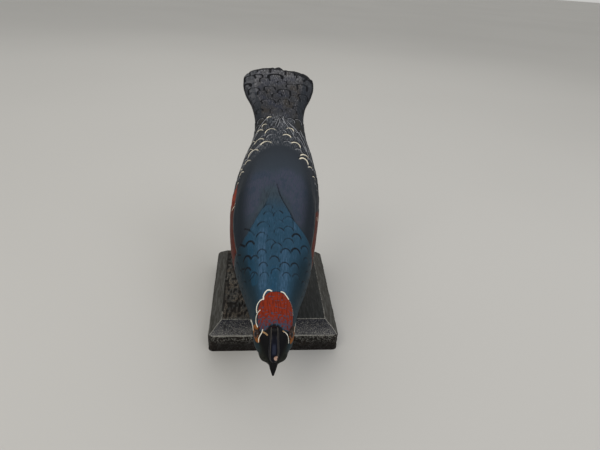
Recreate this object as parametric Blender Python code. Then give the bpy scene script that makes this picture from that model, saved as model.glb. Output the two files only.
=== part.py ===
"""A carved and painted wooden quail that leans head down and tail up on a bevelled plinth.

Metres, +Z up. The origin is the middle of the plinth's underside. The bird looks towards -Y.
"""
import math

import bmesh
import bpy
import numpy as np
from mathutils import Matrix, Vector

# Plinth
PLINTH_WIDTH = 0.117
PLINTH_DEPTH = 0.1362
PLINTH_SIDE = 0.0176
BEVEL_RISE = 0.0099
BEVEL_RUN = 0.0117
EDGE_ROUND = 0.0010

# Bird
BIRD_LENGTH = 0.284
BIRD_TURN = math.radians(-1.8)
FOOT_GAP = 0.0003
LEG_SPACING = 0.032
LEG_THICKNESS = 0.0068
TOE_LENGTH = 0.021
TOE_THICKNESS = 0.0046
EYE_SIZE = 0.0076
PLUME_WIDTH = 0.0076
PLUME_THICKNESS = 0.0048
WING_STEP = 0.0016
MANTLE_STEP = 0.0010
FEATHER_STEP = 0.0009

# The bird's free form is drawn in millimetres and scaled, so that beak tip to tail tip is BIRD_LENGTH.
# Heights are above the plinth's flat top.

# Each station: back line y, z; breast line y, z; half width; share of the height where it is widest;
# fullness; and how far the carver's section sits off the middle, towards +X.
STATIONS = (
    (-141.6, 22.1, -141.0, 20.9, 0.7, 0.50, 2.0, 0.0),     # beak tip
    (-138.6, 26.5, -136.0, 20.9, 2.3, 0.50, 2.0, 0.0),     # beak
    (-134.4, 30.3, -131.2, 20.9, 3.6, 0.50, 2.0, 0.0),     # beak base
    (-129.8, 36.1, -125.4, 19.3, 8.6, 0.50, 2.0, 0.0),     # face
    (-124.0, 42.3, -118.4, 18.1, 13.3, 0.50, 2.1, 0.0),    # lores
    (-115.0, 48.5, -109.0, 17.9, 15.8, 0.48, 2.1, 0.0),    # eye
    (-104.0, 52.8, -98.0, 18.9, 17.4, 0.46, 2.1, 0.0),     # crown
    (-91.0, 55.3, -86.0, 18.9, 20.0, 0.47, 2.1, 0.0),      # nape
    (-79.0, 59.5, -72.0, 16.2, 23.8, 0.50, 2.1, 0.0),      # hindneck
    (-68.5, 67.3, -56.0, 12.7, 28.2, 0.53, 2.1, -0.2),     # neck base
    (-56.5, 79.8, -35.0, 13.7, 33.4, 0.54, 2.1, -0.9),     # mantle
    (-42.5, 95.7, -8.0, 23.5, 38.0, 0.52, 2.1, -1.2),      # shoulder
    (-25.0, 113.1, 19.0, 44.0, 40.0, 0.50, 2.1, -0.2),     # back
    (-6.5, 126.9, 36.0, 67.5, 37.6, 0.52, 2.1, 1.2),       # loins
    (12.5, 139.3, 46.0, 90.5, 31.4, 0.56, 2.1, 2.0),       # rump
    (28.0, 148.8, 52.5, 112.5, 24.6, 0.60, 2.1, 2.4),      # rump end
    (42.0, 158.1, 59.0, 133.5, 22.8, 0.62, 2.1, 1.4),      # tail root
    (52.5, 165.7, 64.0, 150.5, 25.2, 0.50, 2.2, 0.5),      # tail
    (62.5, 173.3, 70.5, 164.0, 31.0, 0.40, 2.4, 0.0),      # tail fans out
    (72.5, 180.5, 77.5, 174.1, 33.5, 0.35, 2.6, -0.3),     # tail at its widest
    (79.0, 185.0, 83.0, 179.8, 31.5, 0.35, 2.6, -0.5),
    (84.3, 188.6, 87.4, 184.7, 23.0, 0.35, 2.6, -0.5),     # tail rounds off
    (87.0, 190.4, 88.4, 188.5, 10.0, 0.35, 2.4, -0.5),
)
# Columns of the skin, in degrees from the back's middle round to the breast's. The step at the folded wing's
# lower edge falls between the columns at 60 and 62.5 degrees.
COLUMN_DEGREES = (0, 6, 12, 18, 24, 30, 36, 42, 48, 54, 60, 62.5, 67, 73, 80, 88, 98, 110, 123, 136, 150, 165,
                  180)
WING_LOWER_DEGREES = 61.0

# Lines across the back, each as (degrees from the back's middle, distance along from the beak's tip).
# The mantle's line is the V where it lies over the folded wings.
NAPE_LINE = ((0, 60), (180, 58))
MANTLE_LINE = ((0, 159), (6, 147.5), (11.5, 138), (16, 131), (21.5, 126), (28, 120.5), (33, 116), (45, 108.5),
               (60, 103), (80, 97), (180, 92))
WING_END_LINE = ((0, 201), (10, 200.5), (27, 196), (42, 187), (52, 176), (58, 164), (62, 156), (80, 150),
                 (180, 146))
RUMP_LINES = (((0, 212), (40, 207), (65, 199), (85, 184), (180, 165)),
              ((0, 223), (40, 219), (65, 212), (85, 200), (180, 185)),
              ((0, 234), (40, 231), (65, 225), (85, 214), (180, 202)))
TAIL_ROW_ENDS = (270.5, 286.0)
TAIL_ROW_BOW = 0.0085
RUMP_FEATHER_DEGREES = 24.0
RUMP_FEATHER_ROUND = 4.0
TAIL_FEATHER_WIDTH = 9.4
TAIL_FEATHER_ROUND = 3.0
STEP_RUN = 0.35
# Rings of skin in front of each line, from the beak's tip to the tail's end.
RING_COUNTS = (19, 17, 12, 4, 3, 3, 8, 5, 5)
# The tail's columns are spaced evenly across it, from where the rump ends.
TAIL_COLUMNS_FROM = (215.0, 250.0)
RELIEF_ENDS = (72.0, 100.0)

# Head plume: a drop that rises from the forehead, curls forward and hangs in front of the beak's root.
PLUME_LINE = ((-118.5, 41.5), (-121.5, 47.6), (-126.0, 50.9), (-131.2, 50.6), (-135.6, 46.8), (-138.7, 40.6),
              (-140.6, 33.8))
PLUME_SWELL = (0.66, 0.74, 0.80, 0.86, 0.94, 1.0, 0.66)
PLUME_SIDES = 10
EYE_PLACE = (11.6, -117.4, 38.4)

# Legs: share of the way from the top, in the belly, down to the toes, and thickness in leg thicknesses.
LEG_PROFILE = ((0.0, 2.6), (0.30, 2.5), (0.50, 2.0), (0.63, 1.35), (0.72, 1.0), (0.90, 0.95), (1.0, 1.1))
LEG_TOP = (2.0, 40.0)
LEG_FOOT_Y = -9.0
LEG_SIDES = 12
TOE_DEGREES = (-28, 0, 28, 180)
TOE_SHARES = (0.88, 1.0, 0.88, 0.55)
TOE_PROFILE = ((-0.10, 0.9, 1.0), (0.15, 1.0, 1.0), (0.45, 0.82, 0.80), (0.75, 0.86, 0.76), (0.93, 0.5, 0.5),
               (1.0, 0.16, 0.2))

PLINTH_TOP = PLINTH_SIDE + BEVEL_RISE
UNIT = BIRD_LENGTH / math.dist(STATIONS[0][:2], STATIONS[-1][:2])


def clear_scene():
    for thing in list(bpy.data.objects):
        bpy.data.objects.remove(thing, do_unlink=True)


def make_material(name, colour, roughness):
    material = bpy.data.materials.new(name)
    material.use_nodes = True
    shader = material.node_tree.nodes["Principled BSDF"]
    shader.inputs["Base Color"].default_value = (*colour, 1.0)
    shader.inputs["Roughness"].default_value = roughness
    shader.inputs["Metallic"].default_value = 0.0
    return material


def make_object(name, shape):
    """Turns a bmesh into a named object in the scene."""
    mesh = bpy.data.meshes.new(name)
    bmesh.ops.recalc_face_normals(shape, faces=shape.faces[:])
    shape.to_mesh(mesh)
    shape.free()
    piece = bpy.data.objects.new(name, mesh)
    bpy.context.scene.collection.objects.link(piece)
    return piece


def ease(values, low, high):
    share = np.clip((values - low) / (high - low), 0.0, 1.0)
    return share * share * (3.0 - 2.0 * share)


def smooth_curve(knots, values, places):
    """Reads a smooth curve through hand-placed points, with slopes taken from both neighbours."""
    gaps = np.diff(knots)
    slopes = np.diff(values) / gaps
    bends = np.empty_like(values)
    bends[1:-1] = (gaps[1:] * slopes[:-1] + gaps[:-1] * slopes[1:]) / (gaps[1:] + gaps[:-1])
    bends[0] = slopes[0]
    bends[-1] = slopes[-1]
    spot = np.clip(np.searchsorted(knots, places, "right") - 1, 0, len(gaps) - 1)
    gap = gaps[spot]
    u = (places - knots[spot]) / gap
    start = (1 + 2 * u) * (1 - u) ** 2 * values[spot] + u * (1 - u) ** 2 * gap * bends[spot]
    finish = u * u * (3 - 2 * u) * values[spot + 1] + u * u * (u - 1) * gap * bends[spot + 1]
    return start + finish


def station_places(table):
    """Distance of each station along the bird, measured through the middle of the sections."""
    middles = (table[:, 0:2] + table[:, 2:4]) / 2
    steps = np.linalg.norm(np.diff(middles, axis=0), axis=1)
    return np.concatenate([[0.0], np.cumsum(steps)])


def side_share(columns):
    """0 on the back's and the breast's middle, 1 at the side."""
    return 1.0 - np.abs(1.0 - np.abs(columns) / (math.pi / 2))


def body_grid(along, columns):
    """The plain body in drawn millimetres, one row of points for each ring."""
    table = np.array(STATIONS, float)
    knots = station_places(table)
    read = [smooth_curve(knots, table[:, k], along) for k in range(table.shape[1])]
    back_y, back_z, breast_y, breast_z, half_width, widest, fullness, sideways = read
    even = np.sign(columns) * np.arcsin(side_share(columns) ** (fullness / 2))
    even = np.where(np.abs(columns) > math.pi / 2, np.sign(columns) * math.pi - even, even)
    columns = columns + ease(along, *TAIL_COLUMNS_FROM) * (even - columns)
    sine = np.sin(columns)
    cosine = np.cos(columns)
    centre_y = breast_y + widest * (back_y - breast_y)
    centre_z = breast_z + widest * (back_z - breast_z)
    across = sideways + half_width * np.sign(sine) * np.abs(sine) ** (2 / fullness)
    height = np.abs(cosine) ** (2 / fullness)
    goal_y = np.where(cosine > 0, back_y, breast_y)
    goal_z = np.where(cosine > 0, back_z, breast_z)
    y = centre_y + height * (goal_y - centre_y)
    z = centre_z + height * (goal_z - centre_z)
    return np.stack([across, y, z], -1)


def outward(grid):
    """Unit normals of the body, from its neighbours along and round."""
    along = np.gradient(grid, axis=0)
    around = np.roll(grid, -1, axis=1) - np.roll(grid, 1, axis=1)
    normal = np.cross(along, around)
    normal = normal / np.maximum(np.linalg.norm(normal, axis=-1, keepdims=True), 1e-9)
    middle = grid.mean(axis=1, keepdims=True)
    facing = np.sign((normal * (grid - middle)).sum(axis=(1, 2)))[:, None, None]
    return normal * facing


def round_tips(place, width, depth):
    """How far a row of round feather tips falls short of its longest points."""
    share = (place / width + 0.5) % 1.0 * 2.0 - 1.0
    return depth * (1.0 - np.sqrt(1.0 - 0.94 * share * share))


def tail_across(columns):
    """Distance across the tail at its widest, where its columns are evenly spaced."""
    table = np.array(STATIONS, float)
    half_width = table[table[:, 1].argsort()][-6:, 4].max()
    return np.sign(columns) * half_width * side_share(columns)


def make_lines(columns):
    """The lines across the bird: distance along for every column, and the relief before and after it."""
    degrees = np.abs(np.degrees(columns))
    fade = 1.0 - ease(degrees, *RELIEF_ENDS)
    wing = WING_STEP / UNIT * (degrees < WING_LOWER_DEGREES)
    mantle = (WING_STEP + MANTLE_STEP) / UNIT * (1.0 - ease(degrees, 45.0, 85.0))
    nothing = np.zeros_like(columns)
    lines = [(nothing, nothing, nothing)]
    lines.append((np.interp(degrees, *zip(*NAPE_LINE)), nothing, nothing))
    lines.append((np.interp(degrees, *zip(*MANTLE_LINE)), np.maximum(mantle, wing), wing))
    lines.append((np.interp(degrees, *zip(*WING_END_LINE)), wing, nothing))
    for number, line in enumerate(RUMP_LINES):
        place = np.degrees(columns) + RUMP_FEATHER_DEGREES / 2 * (number % 2)
        dip = round_tips(place, RUMP_FEATHER_DEGREES, RUMP_FEATHER_ROUND) * fade
        lines.append((np.interp(degrees, *zip(*line)) - dip, FEATHER_STEP / UNIT * fade, nothing))
    across = tail_across(columns)
    upper = degrees < 85.0
    for number, row_end in enumerate(TAIL_ROW_ENDS):
        place = across + TAIL_FEATHER_WIDTH / 2 * (number % 2)
        dip = round_tips(place, TAIL_FEATHER_WIDTH, TAIL_FEATHER_ROUND) * upper
        lines.append((row_end - TAIL_ROW_BOW * across ** 2 - dip, FEATHER_STEP / UNIT * upper, nothing))
    whole = station_places(np.array(STATIONS, float))[-1]
    lines.append((whole - round_tips(across, TAIL_FEATHER_WIDTH, TAIL_FEATHER_ROUND), nothing, nothing))
    return lines


def ring_lines(columns):
    """Rings that follow the lines: place along and relief outwards for every column of every ring."""
    places = []
    reliefs = []
    lines = make_lines(columns)
    for count, first, second in zip(RING_COUNTS, lines, lines[1:]):
        start = first[0] + STEP_RUN * (first[1] > first[2]).any()
        for share in np.linspace(0.0, 1.0, count):
            if share == 0.0 and places and not (first[1] > first[2]).any():
                continue
            places.append(start + share * (second[0] - start))
            reliefs.append(first[2] + share * (second[1] - first[2]))
    return np.array(places), np.array(reliefs)


def stand(point):
    """Turns a point with the bird and stands it on the plinth's top, in metres."""
    place = Vector(point)
    place.rotate(Matrix.Rotation(BIRD_TURN, 3, "Z"))
    return place + Vector((0.0, 0.0, PLINTH_TOP))


def to_world(point):
    """The same for a point in drawn millimetres."""
    return stand([float(value) * UNIT for value in point])


def bridge_rings(shape, rings):
    """Skins a list of closed rings of points and closes both ends with a fan."""
    loops = [[shape.verts.new(point) for point in ring] for ring in rings]
    count = len(loops[0])
    for first, second in zip(loops, loops[1:]):
        for k in range(count):
            after = (k + 1) % count
            shape.faces.new((first[k], first[after], second[after], second[k]))
    for loop in (loops[0], loops[-1]):
        middle = shape.verts.new(sum((vert.co for vert in loop), Vector()) / count)
        for k in range(count):
            shape.faces.new((loop[k], loop[(k + 1) % count], middle))


def make_body():
    """Beak, head, body, folded wings and fanned tail as one skin."""
    half = np.radians(COLUMN_DEGREES)
    columns = np.concatenate([half, -half[-2:0:-1]])
    along, relief = ring_lines(columns)
    grid = body_grid(along, np.broadcast_to(columns, along.shape))
    grid = grid + outward(grid) * relief[..., None]
    shape = bmesh.new()
    bridge_rings(shape, [[to_world(point) for point in ring] for ring in grid])
    return make_object("quail", shape)


def make_plume():
    """The head plume, a drop with an oval section that swells towards its hanging end."""
    line = [Vector((0.0, y, z)) for y, z in PLUME_LINE]
    side = Vector((1.0, 0.0, 0.0))
    rings = []
    for k, point in enumerate(line):
        before = line[max(k - 1, 0)]
        after = line[min(k + 1, len(line) - 1)]
        up = (after - before).normalized().cross(side)
        half_width = PLUME_WIDTH / UNIT / 2 * PLUME_SWELL[k]
        half_height = PLUME_THICKNESS / UNIT / 2 * PLUME_SWELL[k]
        ring = []
        for step in range(PLUME_SIDES):
            angle = math.tau * step / PLUME_SIDES
            offset = side * half_width * math.cos(angle) + up * half_height * math.sin(angle)
            ring.append(to_world(point + offset))
        rings.append(ring)
    shape = bmesh.new()
    bridge_rings(shape, rings)
    return make_object("plume", shape)


def make_eye(side):
    x, y, z = EYE_PLACE
    shape = bmesh.new()
    bmesh.ops.create_uvsphere(shape, u_segments=12, v_segments=8, radius=EYE_SIZE / 2)
    bmesh.ops.translate(shape, vec=to_world((side * x, y, z)), verts=shape.verts[:])
    return make_object("eye", shape)


def foot_point(side):
    """Where a leg meets its foot, on the plinth's top, in metres before the bird's turn."""
    return Vector((side * LEG_SPACING / 2, LEG_FOOT_Y * UNIT, FOOT_GAP))


def make_leg(side):
    """A feathered thigh that narrows to the bare leg, from inside the belly down to the toes."""
    foot = foot_point(side) + Vector((0.0, 0.0, TOE_THICKNESS * 0.4))
    top = Vector((side * LEG_SPACING / 2, LEG_TOP[0] * UNIT, LEG_TOP[1] * UNIT))
    rings = []
    for share, thickness in LEG_PROFILE:
        middle = top.lerp(foot, share)
        radius = LEG_THICKNESS / 2 * thickness
        ring = []
        for step in range(LEG_SIDES):
            angle = math.tau * step / LEG_SIDES
            ring.append(stand(middle + Vector((math.cos(angle), math.sin(angle), 0.0)) * radius))
        rings.append(ring)
    shape = bmesh.new()
    bridge_rings(shape, rings)
    return make_object("leg", shape)


def make_toe(side, degrees, length):
    """One toe: flat underneath, round on top, swollen at its joint and drawn out to a claw."""
    start = foot_point(side)
    turn = Matrix.Rotation(math.radians(degrees * side), 3, "Z")
    rings = []
    for share, width, height in TOE_PROFILE:
        half = TOE_THICKNESS / 2 * width
        top = TOE_THICKNESS * height
        section = ((-half, 0.0), (half, 0.0), (half, top * 0.55), (half * 0.55, top), (-half * 0.55, top),
                   (-half, top * 0.55))
        rings.append([stand(start + turn @ Vector((x, -share * length, z))) for x, z in section])
    shape = bmesh.new()
    bridge_rings(shape, rings)
    return make_object("toe", shape)


def unite(piece, others):
    """Joins other closed shapes to a piece, so that it is one solid."""
    for other in others:
        join = piece.modifiers.new("join", "BOOLEAN")
        join.operation = "UNION"
        join.solver = "EXACT"
        join.object = other
        with bpy.context.temp_override(object=piece, active_object=piece, selected_objects=[piece]):
            bpy.ops.object.modifier_apply(modifier=join.name)
        bpy.data.objects.remove(other, do_unlink=True)


def make_quail():
    quail = make_body()
    extras = [make_plume()]
    for side in (-1, 1):
        extras.append(make_eye(side))
        extras.append(make_leg(side))
        for degrees, share in zip(TOE_DEGREES, TOE_SHARES):
            extras.append(make_toe(side, degrees, TOE_LENGTH * share))
    unite(quail, extras)
    quail.data.shade_smooth()
    quail.data.set_sharp_from_angle(angle=math.radians(40))
    quail.data.materials.append(make_material("painted carved wood", (0.035, 0.065, 0.10), 0.55))


def make_plinth():
    """Upright sides, a sloping bevel and a smaller flat top, with slightly rounded arrises."""
    levels = ((0.0, 0.0), (PLINTH_SIDE, 0.0), (PLINTH_TOP, BEVEL_RUN))
    shape = bmesh.new()
    loops = []
    for height, inset in levels:
        x = PLINTH_WIDTH / 2 - inset
        y = PLINTH_DEPTH / 2 - inset
        corners = ((-x, -y), (x, -y), (x, y), (-x, y))
        loops.append([shape.verts.new((a, b, height)) for a, b in corners])
    for low, high in zip(loops, loops[1:]):
        for k in range(4):
            after = (k + 1) % 4
            shape.faces.new((low[k], low[after], high[after], high[k]))
    shape.faces.new(loops[0])
    shape.faces.new(loops[-1])
    bmesh.ops.recalc_face_normals(shape, faces=shape.faces[:])
    bmesh.ops.bevel(shape, geom=shape.edges[:], offset=EDGE_ROUND, offset_type="OFFSET", segments=2,
                    profile=0.5, affect="EDGES")
    plinth = make_object("plinth", shape)
    plinth.data.shade_smooth()
    plinth.data.set_sharp_from_angle(angle=math.radians(30))
    plinth.data.materials.append(make_material("charcoal stained wood", (0.03, 0.028, 0.027), 0.7))


clear_scene()
make_plinth()
make_quail()
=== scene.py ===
import math

import bpy
import numpy as np
from mathutils import Matrix, Vector


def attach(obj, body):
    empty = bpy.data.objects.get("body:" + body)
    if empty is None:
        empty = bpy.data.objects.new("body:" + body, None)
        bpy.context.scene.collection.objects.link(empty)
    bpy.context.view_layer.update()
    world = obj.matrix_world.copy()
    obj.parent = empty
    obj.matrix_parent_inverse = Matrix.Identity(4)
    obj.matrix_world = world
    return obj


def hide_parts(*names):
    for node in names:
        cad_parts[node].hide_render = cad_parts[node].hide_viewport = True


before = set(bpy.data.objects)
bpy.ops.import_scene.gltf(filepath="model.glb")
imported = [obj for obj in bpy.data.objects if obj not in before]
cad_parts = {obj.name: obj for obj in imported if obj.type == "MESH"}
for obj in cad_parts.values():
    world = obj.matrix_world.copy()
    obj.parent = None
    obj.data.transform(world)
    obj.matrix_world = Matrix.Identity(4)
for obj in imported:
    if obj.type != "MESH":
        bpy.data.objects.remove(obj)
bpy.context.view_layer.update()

# The looks of a carved, hand-painted wooden quail that leans head down on a bevelled plinth.
# The bird looks towards -Y and the plinth's underside lies on z = 0.
mm = 0.001


def hexColour(text):
    parts = [int(text[k:k + 2], 16) / 255 for k in (1, 3, 5)]
    return tuple(c / 12.92 if c <= 0.04045 else ((c + 0.055) / 1.055) ** 2.4 for c in parts) + (1.0,)


def addNode(tree, kind, inputs=None, output=0, **settings):
    # adds a node, sets or links its inputs and gives back one of its outputs
    node = tree.nodes.new("ShaderNode" + kind)
    for name, value in settings.items():
        setattr(node, name, value)
    for key, value in (inputs or {}).items():
        if isinstance(value, bpy.types.NodeSocket):
            tree.links.new(value, node.inputs[key])
        else:
            node.inputs[key].default_value = value
    return node.outputs[output]


def newMaterial(name, **constants):
    # gives a material with the constants set on its shader, and its node tree
    material = bpy.data.materials.new(name)
    material.use_nodes = True
    for key, value in constants.items():
        material.node_tree.nodes["Principled BSDF"].inputs[key.replace("_", " ")].default_value = value
    return material, material.node_tree


def makeReads(tree, attributes, noises):
    # the values that the paint depends on, by name: a piece's attributes, and noises given by their vector,
    # lumps to the metre along its three axes, detail and roughness
    reads = {name: addNode(tree, "Attribute", output="Fac", attribute_name=name) for name in attributes}
    for name, (vector, lumps, detail, roughness) in noises.items():
        moved = addNode(tree, "Mapping", {"Vector": vector, "Scale": lumps})
        reads[name] = addNode(tree, "TexNoise", {"Vector": moved, "Scale": 1.0, "Detail": detail,
                                                 "Roughness": roughness})
    return reads


def paintCoats(tree, palette, reads, ground, coats):
    # lays coats of paint over a ground: each is a colour and the limits (value, low, high, thickness) that it
    # needs, and it covers fully where every value has passed from its low to its high; a colour is a name in
    # the palette or another mix of coats, and a value is a name in the reads
    def mixed(colour):
        return hexColour(palette[colour]) if isinstance(colour, str) else colour

    painted = mixed(ground)
    for colour, *limits in coats:
        cover = 1.0
        for value, low, high, *thickness in limits:
            passed = addNode(tree, "MapRange", {"Value": reads[value], "From Min": low, "From Max": high,
                                                "To Max": thickness[0] if thickness else 1.0},
                             interpolation_type="SMOOTHSTEP")
            cover = addNode(tree, "Math", {0: cover, 1: passed}, operation="MULTIPLY")
        painted = addNode(tree, "Mix", {0: cover, 6: painted, 7: mixed(colour)}, 2, data_type="RGBA")
    return painted


def finishMaterial(material, pieces, colour, rough=None, bump=None):
    # links the paint to the shader, with a roughness (value, low, high) and a bump (value, strength, metres)
    tree = material.node_tree
    shader = tree.nodes["Principled BSDF"]
    tree.links.new(colour, shader.inputs["Base Color"])
    if rough:
        spread = addNode(tree, "MapRange", {"Value": rough[0], "To Min": rough[1], "To Max": rough[2]})
        tree.links.new(spread, shader.inputs["Roughness"])
    if bump:
        raised = addNode(tree, "Bump", {"Height": bump[0], "Strength": bump[1], "Distance": bump[2]})
        tree.links.new(raised, shader.inputs["Normal"])
    for piece in pieces:
        piece.data.materials.append(material)


def startModelling():
    bpy.ops.object.select_all(action="DESELECT")


def newPiece(name):
    # names the primitive just added, moves its place and turn into its mesh and takes off its own map
    piece = bpy.context.object
    piece.name = name
    bpy.ops.object.transform_apply(location=True, rotation=True, scale=True)
    while piece.data.uv_layers:
        piece.data.uv_layers.remove(piece.data.uv_layers[0])
    return piece


def faceOutward():
    bpy.ops.object.mode_set(mode="EDIT")
    bpy.ops.mesh.select_all(action="SELECT")
    bpy.ops.mesh.normals_make_consistent(inside=False)
    bpy.ops.object.mode_set(mode="OBJECT")


def readVertices(piece, name="co"):
    values = np.empty(len(piece.data.vertices) * 3)
    piece.data.vertices.foreach_get(name, values)
    return values.reshape(-1, 3)


def reshapedSphere(name, segments, rings, points):
    # a sphere primitive whose rings and columns take given points, (rings - 1, segments, 3), in metres
    startModelling()
    bpy.ops.mesh.primitive_uv_sphere_add(segments=segments, ring_count=rings, radius=1.0, location=(0, 0, 0))
    piece = newPiece(name)
    places = readVertices(piece)
    ring = np.rint(np.arccos(np.clip(places[:, 2], -1, 1)) / math.pi * rings).astype(int) - 1
    column = np.rint(np.arctan2(places[:, 1], places[:, 0]) / math.tau * segments).astype(int) % segments
    first = ring < 0
    last = ring >= rings - 1
    ring = np.clip(ring, 0, rings - 2)
    fresh = points[ring, column]
    fresh[first] = points[0].mean(axis=0)
    fresh[last] = points[-1].mean(axis=0)
    piece.data.vertices.foreach_set("co", fresh.ravel())
    faceOutward()
    bpy.ops.object.shade_smooth()
    return piece, ring, column


def addAttributes(piece, values):
    for name, value in values.items():
        attribute = piece.data.attributes.new(name, "FLOAT", "POINT")
        attribute.data.foreach_set("value", np.asarray(value, np.float32).ravel())


def ease(values, low, high):
    share = np.clip((values - low) / (high - low), 0.0, 1.0)
    return share * share * (3.0 - 2.0 * share)


def softNoise(places, size, seed):
    # smooth noise from -1 to 1 with lumps of the given size
    lattice = np.random.default_rng(seed).uniform(-1, 1, (32, 32, 32))
    spots = places / size
    whole = np.floor(spots).astype(int)
    part = spots - whole
    part = part * part * (3 - 2 * part)
    total = np.zeros(places.shape[:-1])
    for steps in np.ndindex(2, 2, 2):
        corner = np.moveaxis((whole + steps) % 32, -1, 0)
        total += np.prod(np.where(steps, part, 1 - part), axis=-1) * lattice[tuple(corner)]
    return total


def valueAt(places, knots):
    # reads a broken line of (place, value) knots
    return np.interp(places, *zip(*knots))


# the camera is fitted to the photograph, and the light to the tones of the floor round the plinth
view = {
    "place": (-0.02056, -0.3679, 0.3018),
    "pitch": 29.43,     # degrees below level
    "yaw": 6.9,
    "roll": 4.27,
    "lens": 27.06,
    "sensor": 36.0,
}

studio = {
    "floorSize": 30.0,
    "floorColour": "#c8c7c4",
    "floorCloud": "#c5c4c1",
    "airColour": "#f5f4f1",
    "airStrength": 0.62,
    # name: place, aim, width and depth in metres, watts, colour
    "lights": {
        "backLight": ((0.0, 1.3, 1.3), (0.0, 0.0, 0.05), 1.4, 0.8, 3.5, "#fffdf8"),
        "leftLight": ((-0.85, -0.75, 1.35), (0.0, 0.0, 0.05), 0.8, 0.8, 6.3, "#fffaf2"),
        "rightLight": ((0.85, -0.75, 1.35), (0.0, 0.0, 0.05), 0.8, 0.8, 5.7, "#fbfbff"),
    },
}


def makeCamera():
    pitch, yaw, roll = (math.radians(view[key]) for key in ("pitch", "yaw", "roll"))
    forward = Vector((math.sin(yaw) * math.cos(pitch), math.cos(yaw) * math.cos(pitch), -math.sin(pitch)))
    right = forward.cross(Vector((0, 0, 1))).normalized()
    up = right.cross(forward)
    turnedRight = right * math.cos(roll) + up * math.sin(roll)
    turnedUp = up * math.cos(roll) - right * math.sin(roll)
    startModelling()
    bpy.ops.object.camera_add()
    camera = bpy.context.object
    camera.name = "camera"
    turn = Matrix((turnedRight, turnedUp, -forward)).transposed().to_4x4()
    camera.matrix_world = Matrix.Translation(Vector(view["place"])) @ turn
    camera.data.lens = view["lens"]
    camera.data.sensor_width = view["sensor"]
    camera.data.clip_end = 100.0
    camera.data.clip_start = 0.01
    bpy.context.scene.camera = camera


def makeFloor():
    startModelling()
    bpy.ops.mesh.primitive_plane_add(size=studio["floorSize"], location=(0, 0, 0))
    floor = bpy.context.object
    floor.name = "floor"
    # matte paper sweep: it scatters light and shows no gloss
    material, tree = newMaterial("matte paper backdrop", Roughness=0.9, IOR=1.35)
    place = addNode(tree, "TexCoord", output="Object")
    reads = makeReads(tree, (), {"cloud": (place, (1.2, 1.2, 1.2), 2.0, 0.5)})
    paint = paintCoats(tree, studio, reads, "floorColour", [("floorCloud", ("cloud", 0.3, 0.7))])
    finishMaterial(material, [floor], paint)


def makeLights():
    world = bpy.data.worlds.new("soft room light")
    world.use_nodes = True
    air = world.node_tree.nodes["Background"]
    air.inputs["Color"].default_value = hexColour(studio["airColour"])
    air.inputs["Strength"].default_value = studio["airStrength"]
    bpy.context.scene.world = world
    for name, (place, aim, width, depth, watts, colour) in studio["lights"].items():
        startModelling()
        bpy.ops.object.light_add(type="AREA", location=place)
        light = bpy.context.object
        light.name = name
        light.rotation_euler = (Vector(aim) - Vector(place)).to_track_quat("-Z", "Y").to_euler()
        light.data.shape = "RECTANGLE"
        light.data.size = width
        light.data.size_y = depth
        light.data.energy = watts
        light.data.color = hexColour(colour)[:3]


makeCamera()
makeFloor()
makeLights()
bpy.context.scene.view_settings.view_transform = "Standard"
print("camera, floor and lights made")

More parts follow.
